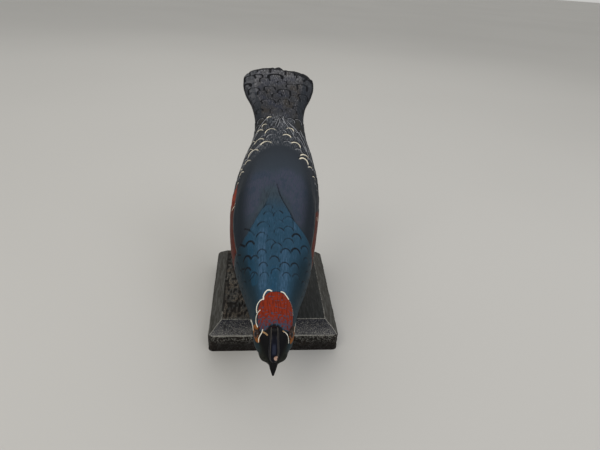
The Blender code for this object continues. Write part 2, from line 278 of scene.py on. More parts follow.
bird = {
    "length": 284.0,        # mm, beak's tip to tail's end
    "turn": -1.8,           # degrees on the plinth
    "plinthTop": 27.5,      # mm
    "wingStep": 1.6,        # mm
    "mantleStep": 1.0,
    "mantleStepLeft": 0.55,     # share of the step that is left on the bird's softer left side
    "wingLowerDegrees": 61.0,
    "wingEdgeHalf": 0.4,        # degrees, half the width of the step at the wing's lower edge
    "mantleEdge": 0.35,         # mm, width of the step along the mantle's V
    "wingFall": 34.0,           # mm over which the wings' ends fall to the rump
    "raisedFade": (45, 85),     # degrees over which the mantle's and wings' height fades down the sides
    "tailFlattens": (215.0, 250.0),     # along, where the columns spread out evenly for the flat tail
    "feathersStart": (58, 76),          # along, where the carved feathers rise behind the head
    # back line y, z; breast line y, z; half width; share of the height where it is widest; fullness;
    # how far the section sits off the middle
    "stations": (
        (-141.6, 22.1, -141.0, 20.9, 0.7, 0.50, 2.0, 0.0),
        (-138.6, 26.5, -136.0, 20.9, 2.3, 0.50, 2.0, 0.0),
        (-134.4, 30.3, -131.2, 20.9, 3.6, 0.50, 2.0, 0.0),
        (-129.8, 36.1, -125.4, 19.3, 8.6, 0.50, 2.0, 0.0),
        (-124.0, 42.3, -118.4, 18.1, 13.3, 0.50, 2.1, 0.0),
        (-115.0, 48.5, -109.0, 17.9, 15.8, 0.48, 2.1, 0.0),
        (-104.0, 52.8, -98.0, 18.9, 17.4, 0.46, 2.1, 0.0),
        (-91.0, 55.3, -86.0, 18.9, 20.0, 0.47, 2.1, 0.0),
        (-79.0, 59.5, -72.0, 16.2, 23.8, 0.50, 2.1, 0.0),
        (-68.5, 67.3, -56.0, 12.7, 28.2, 0.53, 2.1, -0.2),
        (-56.5, 79.8, -35.0, 13.7, 33.4, 0.54, 2.1, -0.9),
        (-42.5, 95.7, -8.0, 23.5, 38.0, 0.52, 2.1, -1.2),
        (-25.0, 113.1, 19.0, 44.0, 40.0, 0.50, 2.1, -0.2),
        (-6.5, 126.9, 36.0, 67.5, 37.6, 0.52, 2.1, 1.2),
        (12.5, 139.3, 46.0, 90.5, 31.4, 0.56, 2.1, 2.0),
        (28.0, 148.8, 52.5, 112.5, 24.6, 0.60, 2.1, 2.4),
        (42.0, 158.1, 59.0, 133.5, 22.8, 0.62, 2.1, 1.4),
        (52.5, 165.7, 64.0, 150.5, 25.2, 0.50, 2.2, 0.5),
        (62.5, 173.3, 70.5, 164.0, 31.0, 0.40, 2.4, 0.0),
        (72.5, 180.5, 77.5, 174.1, 33.5, 0.35, 2.6, -0.3),
        (79.0, 185.0, 83.0, 179.8, 31.5, 0.35, 2.6, -0.5),
        (84.3, 188.6, 87.4, 184.7, 23.0, 0.35, 2.6, -0.5),
        (87.0, 190.4, 88.4, 188.5, 10.0, 0.35, 2.4, -0.5)),
    # lines across the back, as degrees from the back's middle and distance along from the beak's tip
    "napeLine": ((-180, 58), (0, 60), (180, 58)),
    "mantleLine": ((-180, 92), (-80, 97), (-60, 101), (-47, 104.5), (-36, 111), (-25, 119.8), (-18, 128.5),
                   (-11, 137.2), (-6, 150), (-2, 160.5), (0, 159), (4, 146.1), (7, 141.5), (11, 136.3),
                   (16, 131), (20, 126.2), (22.5, 123.2), (25, 121.2), (31, 117.8), (38, 114.4), (48, 110),
                   (55, 107.5), (80, 97), (180, 92)),
    "wingEndLine": ((0, 201), (10, 200.5), (27, 196), (42, 187), (52, 176), (58, 164), (62, 156), (80, 150),
                    (180, 146)),
    # how far the tail's end falls short of its longest feather, at places across it
    "tailNotches": ((-34, 6.0), (-31.0, 3.0), (-27.8, 1.6), (-26.8, 3.4), (-24, 1.2), (-20.2, 0.6),
                    (-19.2, 2.0), (-15, 0.6), (-10, 1.3), (-8.4, 2.4), (-5, 0.5), (0, 0.0), (4, 0.3),
                    (6.0, 1.6), (6.9, 4.6), (9, 3.4), (12.5, 2.6), (14.8, 3.8), (15.8, 5.8), (19, 3.2),
                    (24, 2.8), (27.4, 4.2), (28.6, 6.6), (31, 4.4), (34, 7.0)),
    "tailRim": ((-34, 285), (-31, 289), (-20, 292.4), (-8, 293.6), (0, 293.4), (6, 292.4), (12, 291),
                (21, 287.4), (28, 283.5), (34, 278.5)),
    # swollen cheeks and hollow nostrils: place along and its spread, degrees and their spread, height
    "cheek": (13.4, 3.7, 86, 34, 2.4),
    "nostril": (8.6, 1.1, 48, 13, -0.45),
    # the mouth's line in degrees and its distance from the beak's middle in mm, by place along
    "mouthLine": ((0, 96), (6, 100), (12, 104)),
    "mouthReach": ((0, 1.5), (6, 3.0), (12, 5.0), (16, 9.0)),
    "mouthHalf": 0.32,
    "mouthDepth": 0.35,
    "mouthEnd": (11.0, 13.5),
    # cuts between the wings' long feathers: degrees above the wing's lower edge, from and to along
    "wingCuts": ((9.0, 120, 172), (17.0, 128, 180), (25.0, 138, 184)),
    "wingCutHalf": 0.9,
    "wingCutDepth": 0.22,
    "facets": ((9.0, 11, 0.16), (3.2, 12, 0.05)),       # the carver's soft facets: size, seed, height
    "bands": (150, 150, 245),       # rings up to the nape, the mantle's V and the tail's end
    "sideColumns": (44, 21, 24),    # columns to the wing's lower edge, on to the side, and under the belly
}


def smoothCurve(knots, values, places):
    gaps = np.diff(knots)
    slopes = np.diff(values) / gaps
    bends = np.empty_like(values)
    bends[1:-1] = (gaps[1:] * slopes[:-1] + gaps[:-1] * slopes[1:]) / (gaps[1:] + gaps[:-1])
    bends[0] = slopes[0]
    bends[-1] = slopes[-1]
    spot = np.clip(np.searchsorted(knots, places, "right") - 1, 0, len(gaps) - 1)
    gap = gaps[spot]
    u = (places - knots[spot]) / gap
    start = (1 + 2 * u) * (1 - u) ** 2 * values[spot] + u * (1 - u) ** 2 * gap * bends[spot]
    finish = u * u * (3 - 2 * u) * values[spot + 1] + u * u * (u - 1) * gap * bends[spot + 1]
    return start + finish


stations = np.array(bird["stations"], float)
middles = (stations[:, 0:2] + stations[:, 2:4]) / 2
stationPlaces = np.concatenate([[0.0], np.cumsum(np.linalg.norm(np.diff(middles, axis=0), axis=1))])
wholeLength = stationPlaces[-1]
unit = bird["length"] / math.dist(stations[0, :2], stations[-1, :2])


def bodyGrid(along, columns):
    # the plain body in drawn millimetres, by distance along and angle round
    read = [smoothCurve(stationPlaces, stations[:, k], along) for k in range(stations.shape[1])]
    backY, backZ, breastY, breastZ, halfWidth, widest, fullness, sideways = read
    sideShare = 1.0 - np.abs(1.0 - np.abs(columns) / (math.pi / 2))
    even = np.sign(columns) * np.arcsin(sideShare ** (fullness / 2))
    even = np.where(np.abs(columns) > math.pi / 2, np.sign(columns) * math.pi - even, even)
    columns = columns + ease(along, *bird["tailFlattens"]) * (even - columns)
    sine = np.sin(columns)
    cosine = np.cos(columns)
    centreY = breastY + widest * (backY - breastY)
    centreZ = breastZ + widest * (backZ - breastZ)
    across = sideways + halfWidth * np.sign(sine) * np.abs(sine) ** (2 / fullness)
    height = np.abs(cosine) ** (2 / fullness)
    y = centreY + height * (np.where(cosine > 0, backY, breastY) - centreY)
    z = centreZ + height * (np.where(cosine > 0, backZ, breastZ) - centreZ)
    return np.stack([across, y, z], -1)


def outward(grid):
    along = np.gradient(grid, axis=0)
    around = np.roll(grid, -1, axis=1) - np.roll(grid, 1, axis=1)
    normal = np.cross(along, around)
    normal /= np.maximum(np.linalg.norm(normal, axis=-1, keepdims=True), 1e-9)
    facing = np.sign((normal * (grid - grid.mean(axis=1, keepdims=True))).sum(axis=(1, 2)))
    return normal * facing[:, None, None]


def toWorld(points):
    # from drawn millimetres above the plinth's top to metres in the frame
    turn = math.radians(bird["turn"])
    x, y, z = np.moveaxis(np.asarray(points, float) * unit, -1, 0)
    turned = (x * math.cos(turn) - y * math.sin(turn), x * math.sin(turn) + y * math.cos(turn),
              z + bird["plinthTop"])
    return np.stack(turned, -1) * mm


def aroundTable(columns):
    # arc length round the body from the back's middle, for every column at many places along
    places = np.linspace(0.0, wholeLength, 400)
    grid = bodyGrid(places[:, None], columns[None, :])
    steps = np.linalg.norm(np.diff(grid, axis=1), axis=2)
    total = np.concatenate([np.zeros((len(places), 1)), np.cumsum(steps, axis=1)], axis=1)
    middle = np.argmin(np.abs(columns))
    return places, total - total[:, middle:middle + 1]


def makeSkin():
    # for every ring and column: place along, arc from the back's middle, degrees, point and the steps' height
    upper, lower, under = bird["sideColumns"]
    edge = bird["wingLowerDegrees"]
    half = np.concatenate([np.linspace(0, edge - bird["wingEdgeHalf"], upper),
                           np.linspace(edge + bird["wingEdgeHalf"], 90, lower),
                           np.linspace(90, 180, under + 1)[1:]])
    signed = np.concatenate([-half[-2:0:-1], half])
    columns = np.radians(signed)
    nape = valueAt(signed, bird["napeLine"])
    mantle = valueAt(signed, bird["mantleLine"])
    wingEnd = valueAt(np.abs(signed), bird["wingEndLine"])
    side = 1.0 - np.abs(1.0 - np.abs(signed) / 90.0)
    tailHalfWidth = max(station[4] for station in bird["stations"][-6:])
    across = np.sign(signed) * tailHalfWidth * side
    finish = wholeLength - valueAt(across, bird["tailNotches"])
    wing = bird["wingStep"] * (np.abs(signed) < edge)
    leftSoft = np.where(signed < -3, bird["mantleStepLeft"], 1.0)
    raised = bird["wingStep"] + bird["mantleStep"] * leftSoft
    raised = raised * (1 - ease(np.abs(signed), *bird["raisedFade"]))
    raised = np.maximum(raised, wing)
    first = np.linspace(0, 1, bird["bands"][0])[:, None]
    second = np.linspace(0, 1, bird["bands"][1] + 1)[1:, None]
    third = np.linspace(0, 1, bird["bands"][2])[:, None]
    behind = mantle + bird["mantleEdge"]
    along = np.concatenate([first * nape, nape + second * (mantle - nape),
                            behind + third * (finish - behind)])
    fall = ease(along[-bird["bands"][2]:], wingEnd - bird["wingFall"], wingEnd)
    relief = np.concatenate([first * nape * 0, second * raised, wing * (1 - fall)])
    places, table = aroundTable(columns)
    around = np.stack([np.interp(along[:, k], places, table[:, k]) for k in range(len(columns))], axis=1)
    angles = np.broadcast_to(columns, along.shape)
    values = {"along": along, "around": around, "degrees": np.abs(np.degrees(angles)), "relief": relief,
              "grid": bodyGrid(along, angles), "wingEnd": np.broadcast_to(wingEnd, along.shape),
              "mantle": np.broadcast_to(mantle, along.shape), "crest": np.zeros(along.shape)}
    for name in ("creamLine", "darkLine", "greyLine"):
        values[name] = np.full(along.shape, -3.0)       # mm from the line's edge, positive on it
    return values


skin = makeSkin()


def layFeather(tip, halfWidth, length, tone, thick, height, lean, reach, roundness, power):
    # carves one feather that overlaps those behind it, and paints a line along its tip; the line reaches back
    # down the feather's outer and inner side by its two shares, and a cream one ends in a thin grey tail;
    # a power of 2 makes the tip round, and more makes it square
    along, around = skin["along"], skin["around"]
    span = length + halfWidth + 3
    rows, cols = np.nonzero((np.abs(along - tip[0]) < span) & (np.abs(around - tip[1]) < span))
    if len(rows) == 0:
        return
    a = along[rows, cols] - tip[0]
    b = around[rows, cols] - tip[1]
    turn = math.radians(lean)
    x = a * math.cos(turn) + b * math.sin(turn)
    y = b * math.cos(turn) - a * math.sin(turn)
    deep = halfWidth * roundness
    q = ((np.maximum(x + deep, 0) / deep) ** power + np.abs(y / halfWidth) ** power) ** (1 / power)
    border = (1 - q) * min(deep, halfWidth)
    cover = (border > 0) & (x > -length)
    outer = y * (1 if tip[1] > 0 else -1) > 0
    fade, tail = (np.maximum(-x / deep - np.where(outer, *ends), 0) * plumage["taper"]
                  for ends in (reach, plumage["tailReach"]))
    # carved height: highest at the tip, level with the skin at the root
    new = height * np.clip(1 + x / length, 0, 1) * (1 - 0.25 * np.clip(y / halfWidth, -1, 1) ** 2)
    weight = ease(border, -0.1, 0.5) * (x > -length)
    skin["crest"][rows, cols] += weight * (new - skin["crest"][rows, cols])
    line = thick / 2 - np.abs(border - thick / 2) - fade
    near = (border > -2.5) & (x > -length)
    # painted shadow: a thin dark line just outside the feather's border, as cast by its raised edge
    shadow = plumage["shadow"] - np.abs(border + plumage["shadow"]) - fade * 1.2
    greyLine = line if tone == "grey" else plumage["tailHalf"] - np.abs(border - plumage["tailHalf"]) - tail
    for name, values, wanted in (("creamLine", line, tone == "cream"),
                                 ("greyLine", greyLine, tone in ("cream", "grey")),
                                 ("darkLine", line if tone == "dark" else shadow, True)):
        old = skin[name][rows, cols]
        kept = np.where(cover, -3.0, old)
        fresh = np.maximum(kept, values) if wanted else kept
        skin[name][rows, cols] = np.where(near | cover, fresh, old)


plumage = {
    "grooveHalf": 0.7,          # mm, half width of a cut line
    # a painted shadow: the thin dark line beside each covert's edge
    "covertShadow": 0.35,       # mm, half the dark line beside a covert's edge
    "taper": 2,                 # how fast a line thins past its reach
    # a painted shadow: the thin dark line just outside each feather's border
    "shadow": 0.45,             # mm, half the dark line outside a feather's border
    "tailHalf": 0.40,           # mm, half the thin grey line that a cream one ends in
    "tailReach": (2.4, 0.7),    # its reach down the outer and the inner side
    # how each group is carved and painted: tone, scale of its half widths and its lines, height, lean to
    # the mm of arc, the line's reach, roundness and power
    "ways": {
        "tailEnds": ("dark", 1.05, 0.9, 0.8, 0, (1.9, 1.9), 0.55, 2.6),
        "tailTips": ("dark", 1.15, 1.12, 0.65, 0, (1.8, 1.2), 0.55, 2.6),
        "creamTips": ("cream", 1, 0.95, 0.5, 0, (0.8, 0.45), 0.85, 2),
        "greyTips": ("grey", 1, 1.25, 0.5, 0, (0.8, 0.45), 0.85, 2),
        "mantleTips": ("dark", 1, 1.2, 0.45, 1.1, (0.45, 1), 1.15, 2),
    },
    # faint even rows on the rump, mantle, flanks and tail: from, to and step along, from, to and step round,
    # seed; where they start and end, by arc; the groups to keep clear of, and by how much; half width,
    # length, tone, line, reach, roundness and power
    "rows": (
        ((168, 236, 7.5, 2, 52, 8, 3),
         ((0, 207.5), (12, 206.5), (22, 198.5), (32, 189.5), (40, 179.5), (46, 166.5), (60, 151.5)),
         ((0, 999), (1, 999)), ("creamTips", "greyTips"), 5,
         (4.4, 11, "grey", 0.75, (1.2, 0.4), 0.85, 2)),
        ((62, 168, 9, 30, 128, 9.4, 5), ((0, 0), (1, 0)),
         ((0, 90), (46.2, 108), (63, 104), (84, 150), (189, 168)), ("mantleTips",), 6.5,
         (4.9, 11, "dark", 0.9, (0.72, 0.72), 0.95, 2)),
        ((150, 222, 11, 50, 116, 10, 7), ((0, 0), (1, 0)), ((0, 999), (1, 999)), (), 0,
         (4.8, 16, "flank", 0.9, (0.75, 0.75), 1.2, 2)),
        ((226, 290, 14, 44, 92, 9, 9), ((0, 0), (1, 0)), ((0, 999), (1, 999)), (), 0,
         (4.6, 22, "dark", 0.8, (0.7, 0.7), 0.9, 2.8))),
    # tip's distance along, arc from the back's middle, half width, length, line width in mm
    "creamTips": (
        (236.5, -9.8, 2.6, 8, 1.3), (228.3, -14.6, 3.2, 9, 1), (223.2, -20.2, 5.2, 10, 1),
        (221.5, -8.6, 6, 12, 1.1), (211.5, -19.3, 5.8, 12, 1.1), (206.5, -12.4, 6.4, 14, 1.3),
        (200, -24.4, 6.8, 14, 1.1), (203.5, -30.5, 5.5, 12, 0.9), (212.7, -28.5, 4.5, 10, 0.9),
        (190.5, -30, 4.8, 12, 1), (186, -41, 4.5, 10, 1.2), (181.2, -37, 4, 10, 1.2),
        (171.5, -42, 2.8, 8, 1),
        (223.3, 8.6, 4, 10, 1.1), (214.8, 5.6, 4.7, 11, 1.2), (207.2, 14.2, 5.6, 13, 1.2),
        (197, 24.6, 6.4, 13, 1.3), (192.6, 23, 5.8, 14, 1.5), (187, 32, 4.6, 11, 1.1),
        (179, 37, 3, 9, 1)),
    "greyTips": (
        (214.7, -16, 3.2, 9, 0.8), (214.6, -7.6, 5.4, 12, 0.9), (219.6, 1.8, 3.6, 9, 0.8),
        (206.7, 6.3, 4.2, 12, 0.8), (200.4, 17, 4.4, 12, 0.8), (202.6, -17.4, 4.4, 10, 0.8),
        (229.5, 1.5, 3.2, 9, 0.6), (233, -3, 3, 9, 0.5), (194, -35.5, 4.6, 11, 0.9),
        (190, -38.5, 4.4, 10, 0.8), (176.5, -41, 3.8, 9, 0.8), (186.5, 36.5, 4, 10, 0.8),
        (195.5, 31, 5, 11, 0.9), (173, 41, 3.4, 9, 0.8)),
    # light edges of the long coverts down the right of the rump, and down the left
    "coverts": (
        (((234.4, 1.8), (227.3, 5), (219.8, 9.5), (210.1, 14.5)), 0.85),
        (((229.1, 7.9), (223.6, 13.6), (216.8, 20), (207.9, 24.8), (197.8, 28.6)), 1),
        (((214.5, 15.6), (209.5, 21), (201, 25.9)), 0.9),
        (((224, 19), (216, 25.5), (205.8, 30), (194, 34.5), (184, 37.5)), 0.9),
        (((205.8, 23.5), (199, 29), (192.3, 33.1)), 0.8),
        (((206, 13.6), (203, 18), (197, 22.5)), 0.5),
        (((186, 33), (180, 37.5), (172, 41)), 0.5),
        (((228, -4), (222, -9), (218.5, -14)), 0.3),
        (((235.4, -0.6), (231, -2.6), (225, -4.6)), 0.6),
        (((234, 0.2), (229, -0.8), (222.6, -3)), 0.7),
        (((236.6, 3), (232.6, 3.6), (228.6, 2.6)), 0.8),
        (((232, 6), (226, 10), (219, 15.6)), 0.7),
        (((237, -10), (230, -16.5), (222, -23.5), (214, -30)), 0.9),
        (((224, -19), (217, -25.5), (208, -32.5), (199, -38)), 1),
        (((212.5, -19.5), (208.5, -25), (203, -30), (196, -35)), 0.9),
        (((206.5, -13), (204.5, -18.5), (199.5, -24), (193.5, -30.5)), 0.9),
        (((200, -24.5), (196, -30), (189, -36), (182, -40)), 0.9),
        (((190.5, -30.5), (186, -36), (179, -41), (171, -43.5)), 0.6)),
    # cut lines down the borders of the folded wings, with painted shade along each cut, and dark strokes on
    # the neck: points, width, depth in mm
    "grooves": (
        (((159, -0.6), (153, 1), (145.7, 3.2)), 0.5, 0.2),
        (((149, 2.2), (146.1, 3.5), (141.5, 5.4), (136.3, 8.5), (131, 11.5), (126.5, 13.7)), 1, 0.35),
        (((127.5, 13.4), (121.9, 14.5), (114.8, 15.3)), 0.6, 0.25),
        (((124, 15.2), (121.9, 17.1), (118.5, 20.7), (114.8, 25), (110.2, 29.7), (107, 34.4)),
         0.45, 0.25),
        (((142, -6.5), (137, -7.8), (128.5, -12.5), (119.8, -17.3), (111, -23)), 0.35, 0.2),
        (((117.2, -25.2), (115.8, -22), (113.4, -19.6)), 1.7, 0.1),
        (((114, -20), (111.6, -17.8), (108.6, -16)), 1.1, 0.1),
        (((105.2, -29.6), (103.4, -27), (101.6, -25)), 1.9, 0.1),
        (((98.6, -33.4), (96.7, -29.8)), 1.3, 0.1),
        (((86.4, -30.2), (84.6, -26.4)), 1.2, 0.1),
        (((76.8, -16.4), (74.6, -17.8), (73.2, -21.8)), 0.8, 0.1)),
    # tip, half width, length, line width
    "mantleTips": (
        (137.6, -6.1, 4.4, 9, 1.1), (130.5, -5.6, 4.8, 11, 1), (131.2, 3.2, 4.2, 10, 1),
        (126.4, 12.6, 5.4, 12, 0.9), (120.5, -10.2, 5.6, 12, 1), (122, 3.8, 4, 9, 0.6),
        (114.6, 4.2, 4.7, 11, 0.9), (110.6, -11.2, 5.2, 11, 1), (112, 19.6, 4.7, 11, 1.4),
        (117, 12.4, 4.6, 11, 0.8), (104.9, -21.2, 4.4, 11, 1.5),
        (100.4, 2.2, 4.9, 11, 0.8), (104.2, 28.2, 5, 11, 1), (95.6, -11, 4.3, 10, 0.9),
        (96.4, 10, 4.6, 10, 0.9), (98.8, 19, 4.7, 10, 1.3), (93.8, -24.4, 4.4, 10, 1.4),
        (105.8, 12.6, 4.6, 11, 0.8), (103.6, -3.4, 4.6, 11, 0.8),
        (91.6, -17.3, 3.8, 9, 1), (89.4, -0.4, 4.4, 9, 0.9), (84.6, -10, 3.9, 9, 0.9),
        (84.8, 9, 4.6, 9, 0.9), (86.4, 18, 4.2, 9, 1), (84.6, -24.6, 4, 9, 1.2),
        (79, 1, 4.2, 8, 0.7), (76, -9, 4, 8, 0.6), (76.5, 10.5, 4, 8, 0.7),
        (78.5, -18.5, 4, 8, 0.8), (78, 19.5, 4, 8, 0.7)),
    # tip, half width, length, line width, lean
    "tailTips": (
        (247.5, -19, 4, 12, 0.9, 0), (258.2, -10.2, 6.6, 18, 0.8, 0), (258.4, 4.4, 5.2, 18, 0.7, 0),
        (246.5, -3, 5.4, 16, 0.5, 0), (248, 11, 4.8, 16, 0.5, 0), (252, 18, 5, 18, 0.6, 0),
        (256, -20, 4.4, 16, 0.6, 0), (265.4, -1.6, 4.6, 16, 0.7, 0), (268.4, -15.4, 4.4, 18, 0.8, 0),
        (270.8, 5, 6, 20, 0.9, 0), (264, 15, 5, 18, 0.7, 0), (273.6, -8.4, 5.2, 18, 0.8, 0),
        (271.5, -23.6, 5.4, 20, 0.9, -6), (267, 23.5, 5, 20, 0.8, 4), (277.4, 12.6, 5.4, 20, 0.8, 0),
        (278.2, 22.4, 5.4, 22, 1, 5), (283.4, -13, 4.8, 20, 0.8, 0), (276.5, -30.4, 4.6, 22, 1.6, -9),
        (288.6, -3, 7, 26, 1.5, 0), (280.5, 3.4, 4.6, 18, 0.7, 0), (285.6, -27.6, 5.4, 26, 1, -8),
        (287.6, -19.4, 4.6, 24, 1.1, -3), (284.5, 29.4, 4.8, 26, 1.1, 8)),
    # feathers that make the tail's outline
    "tailEnds": (
        (286, 33.4, 4.6, 30, 0.8, 9), (290.8, 23, 5.6, 32, 1.1, 5), (293.4, 11, 5, 34, 1.1, 0),
        (289.6, -31.2, 4.2, 30, 0.9, -9), (294.4, -24.4, 4.4, 32, 1, -6), (296.4, -14.2, 6, 34, 0.8, 0),
        (298.4, -0.6, 7.6, 40, 1.1, 0)),
}


def featherRows(firstAlong, lastAlong, rowStep, firstAround, lastAround, width, seed):
    # staggered rows of feather tips, a little uneven, from tail to head
    uneven = np.random.default_rng(seed)
    tips = []
    for number, row in enumerate(np.arange(lastAlong, firstAlong, -rowStep)):
        shift = width / 2 * (number % 2)
        for place in np.arange(firstAround + shift, lastAround, width):
            for side in (-1, 1):
                wobble = uneven.uniform(-1, 1, 3)
                tips.append((row + wobble[0] * rowStep * 0.12, side * (place + wobble[1] * width * 0.07),
                             wobble[2]))
    return tips


def farFrom(tip, known, gap):
    return all(math.hypot(tip[0] - other[0], tip[1] - other[1]) > gap for other in known)


def carveFeathers():
    # from the tail towards the head, so that each row lies over the one behind it, and the tail's ends first;
    # a job is its place in that order and what layFeather takes
    jobs = []
    for group, (tone, wider, bolder, height, leaning, reach, roundness, power) in plumage["ways"].items():
        for a, b, half, length, thick, *lean in plumage[group]:
            order = a + 400 * (group == "tailEnds")
            turn = lean[0] if lean else max(-16.0, min(16.0, b * leaning))
            jobs.append((order, (a, b), half * wider, length, tone, thick * bolder, height, turn,
                         reach, roundness, power))
    for where, front, end, groups, gap, way in plumage["rows"]:
        half, length, tone, thick, reach, roundness, power = way
        placed = [tip for group in groups for tip in plumage[group]]
        for a, b, wobble in featherRows(*where):
            if valueAt(abs(b), front) < a < valueAt(abs(b), end) and farFrom((a, b), placed, gap):
                shown = "dark" if tone == "grey" and wobble <= -0.1 else tone
                jobs.append((a, (a, b), half, length, shown, thick, 0.4, 0.0, reach, roundness, power))
    for job in sorted(jobs, key=lambda job: -job[0]):
        layFeather(*job[1:])


def lineGap(points):
    # distance in mm from every point of the skin to a broken line of (along, around) points
    best = np.full(skin["along"].shape, 1e9)
    for (a0, b0), (a1, b1) in zip(points, points[1:]):
        da, db = a1 - a0, b1 - b0
        whole = max(da * da + db * db, 1e-9)
        share = np.clip(((skin["along"] - a0) * da + (skin["around"] - b0) * db) / whole, 0, 1)
        gap = np.hypot(skin["along"] - a0 - share * da, skin["around"] - b0 - share * db)
        best = np.minimum(best, gap)
    return best


def rounded(points, closed=False, times=3):
    # cuts the corners of a broken line until it is a smooth one
    points = [tuple(map(float, point)) for point in points]
    for _ in range(times):
        pairs = list(zip(points, points[1:] + points[:1])) if closed else list(zip(points, points[1:]))
        fresh = [] if closed else [points[0]]
        for (a0, b0), (a1, b1) in pairs:
            fresh.append((a0 * 0.75 + a1 * 0.25, b0 * 0.75 + b1 * 0.25))
            fresh.append((a0 * 0.25 + a1 * 0.75, b0 * 0.25 + b1 * 0.75))
        if not closed:
            fresh.append(points[-1])
        points = fresh
    return points


def regionGap(corners):
    # distance to a region's border in mm, positive inside it
    border = rounded(corners, closed=True, times=2)
    gap = lineGap(border + border[:1])
    inside = np.zeros(gap.shape, bool)
    for (a0, b0), (a1, b1) in zip(border, border[1:] + border[:1]):
        if b0 == b1:
            continue
        crosses = (b0 > skin["around"]) != (b1 > skin["around"])
        inside ^= crosses & (skin["along"] < a0 + (skin["around"] - b0) * (a1 - a0) / (b1 - b0))
    return np.where(inside, gap, -gap)


paintLines = {
    "crown": ((57.4, -0.8), (57, -5), (53.4, -8.2), (49, -12.2), (43.6, -13.6), (37, -13.8),
              (31, -13), (26.8, -9.6), (26.4, -5.6), (29.6, -3.6), (30.4, 0), (29.4, 4), (26.6, 9.5),
              (29, 14.6), (36, 17.2), (44, 17), (51, 13.6), (55.8, 8.8), (57.6, 3.6)),
    # white edges of the crown's feathers, the stripe behind each eye that runs on round the throat, and the
    # brows: points and width in mm
    "white": (
        (((58.2, -2.2), (59.6, -4), (59.4, -6), (57.4, -7.6), (54.8, -8.8), (51.6, -8.6)), 1.15),
        (((52, -9), (51.6, -11.6), (49.4, -14.2), (46.4, -15.4), (42.6, -15)), 1),
        (((43, -11.4), (42.2, -14), (39.4, -16.2), (35, -16.2), (31, -13.8)), 0.85),
        (((58, 5.2), (58, 7.4), (56, 9.2), (53.4, 11.6)), 1.05),
        (((53.4, 11.8), (50.2, 14.4), (46.4, 16.4), (42, 17.4)), 0.3),
        (((44, -27), (41, -24.4), (36, -21.6), (32.4, -20.8)), 1.2),
        (((44, 29), (41, 26.6), (36, 23.6), (32.4, 22.4)), 1.2),
        (((44, -27), (46, -33), (45, -41), (42, -49), (40, -60)), 1.5),
        (((44, 29), (46, 35), (45, 43), (42, 51), (40, 62)), 1.5),
        (((21.4, -12.9), (23, -12.6), (24.5, -10.8), (25.6, -9.3), (27.3, -8.8)), 0.95),
        (((25.9, 7.4), (25.6, 9.3), (24.4, 11.3), (22.4, 12.4), (20.8, 12.9)), 0.75)),
    "black": ((41, -24), (44.6, -33), (43, -44), (39, -60), (0, -60), (-6, 0),
              (0, 60), (39, 60), (43, 46), (44.6, 35), (41, 26), (33, 22), (27, 14),
              (26.6, 8), (26.8, 6.4), (28.6, 5.4), (29.8, 3.2), (30, 0), (29.8, -2.8), (28.4, -5.2),
              (26.6, -6.2), (26.6, -9), (27, -12), (33, -20)),
    # the eyes' sockets, and the ochre brushed round their outer and lower sides
    "socket": (
        ((35, -17.4), (34, -20.6), (29.6, -21), (24.6, -18.6), (21.4, -14.6), (22, -11.6),
         (26, -10.8), (31, -12.4)),
        ((35, 18.6), (34, 22), (29.6, 22.6), (24.6, 20), (21.4, 16), (22, 12.8),
         (26, 12), (31, 13.6))),
    "ochre": (
        (((34, -19.2), (32.9, -20.2), (29.5, -19.4), (25.8, -17.4), (22.7, -14.6), (22, -12.4)), 2.4),
        (((33.4, -17.2), (31.6, -16), (29.9, -14.2)), 2.2),
        (((34.6, 21.6), (32.4, 23), (29.2, 22.2), (25.4, 19), (22.7, 16)), 2.6)),
    # blue strokes at the crown's front corners
    "blue": (
        (((27.6, -11.4), (30, -9.4), (32.4, -8.2)), 0.9),
        (((30.2, -13.4), (32.6, -11), (36, -10.4)), 0.9),
        (((33.6, -14.6), (36.4, -12.6), (39, -11.6)), 0.6),
        (((26.8, -7), (28.4, -5.2), (30.6, -4.6)), 0.8),
        (((27.4, 7), (29.6, 7.8), (32.2, 9.6)), 0.7),
        (((30, 12.4), (33.6, 12.2), (36, 13.6)), 0.6),
        (((41.6, 14.4), (43.7, 11.6)), 0.7),
        (((29.2, -1.6), (31.6, -1)), 0.7),
        (((29.2, 1.6), (32.4, 2.4)), 0.8),
        (((28.6, 4.6), (31.6, 5.8)), 0.6)),
    # tan inner ends of the brows; cream nicks at the wings' lower edges
    "tan": ((((25.9, -8.6), (24.9, -7), (23.3, -4.9)), 1), (((26.1, 6.6), (26, 7.8)), 0.8)),
    "wing": ((((149.5, -41), (147.5, -45), (146.5, -50)), 0.9), (((142.4, 49), (140.4, 51.5)), 1.2)),
    # soft pale stripes and teal patches on the neck: points and width in mm
    "pale": ((((112, -9), (100, -10), (90.6, -10.5), (78, -9.4), (64, -9.6)), 4.5),
             (((92, 8), (82, 8), (69, 7.2), (62, 7)), 4.5),
             (((121.2, 16.4), (115.2, 16.6)), 1.4)),
    "teal": ((((108, -20.5), (100, -18.9), (91, -20.5), (82, -18.5), (70, -16.5)), 4.5),
             (((78, -0.5), (62, -1.3)), 4)),
    # purple patches on the wings: middle along and round, and half their spread each way
    "wingPatches": ((153, -24, 18, 8), (143, -21, 16, 7), (164, -12, 9, 8), (163, 6, 12, 8),
                    (147, 21, 17, 8), (134, 22, 12, 6), (158, 14, 12, 8)),
    # how far back the chestnut flanks reach, by degrees, on the left and the right
    "flankLeft": ((61, 167), (72, 164), (90, 156), (115, 138)),
    "flankRight": ((61, 143), (70, 146), (84, 150), (100, 145), (115, 132)),
    "flankTips": (3, 5.6),      # mm, depth and width of the feather tips that end them
}

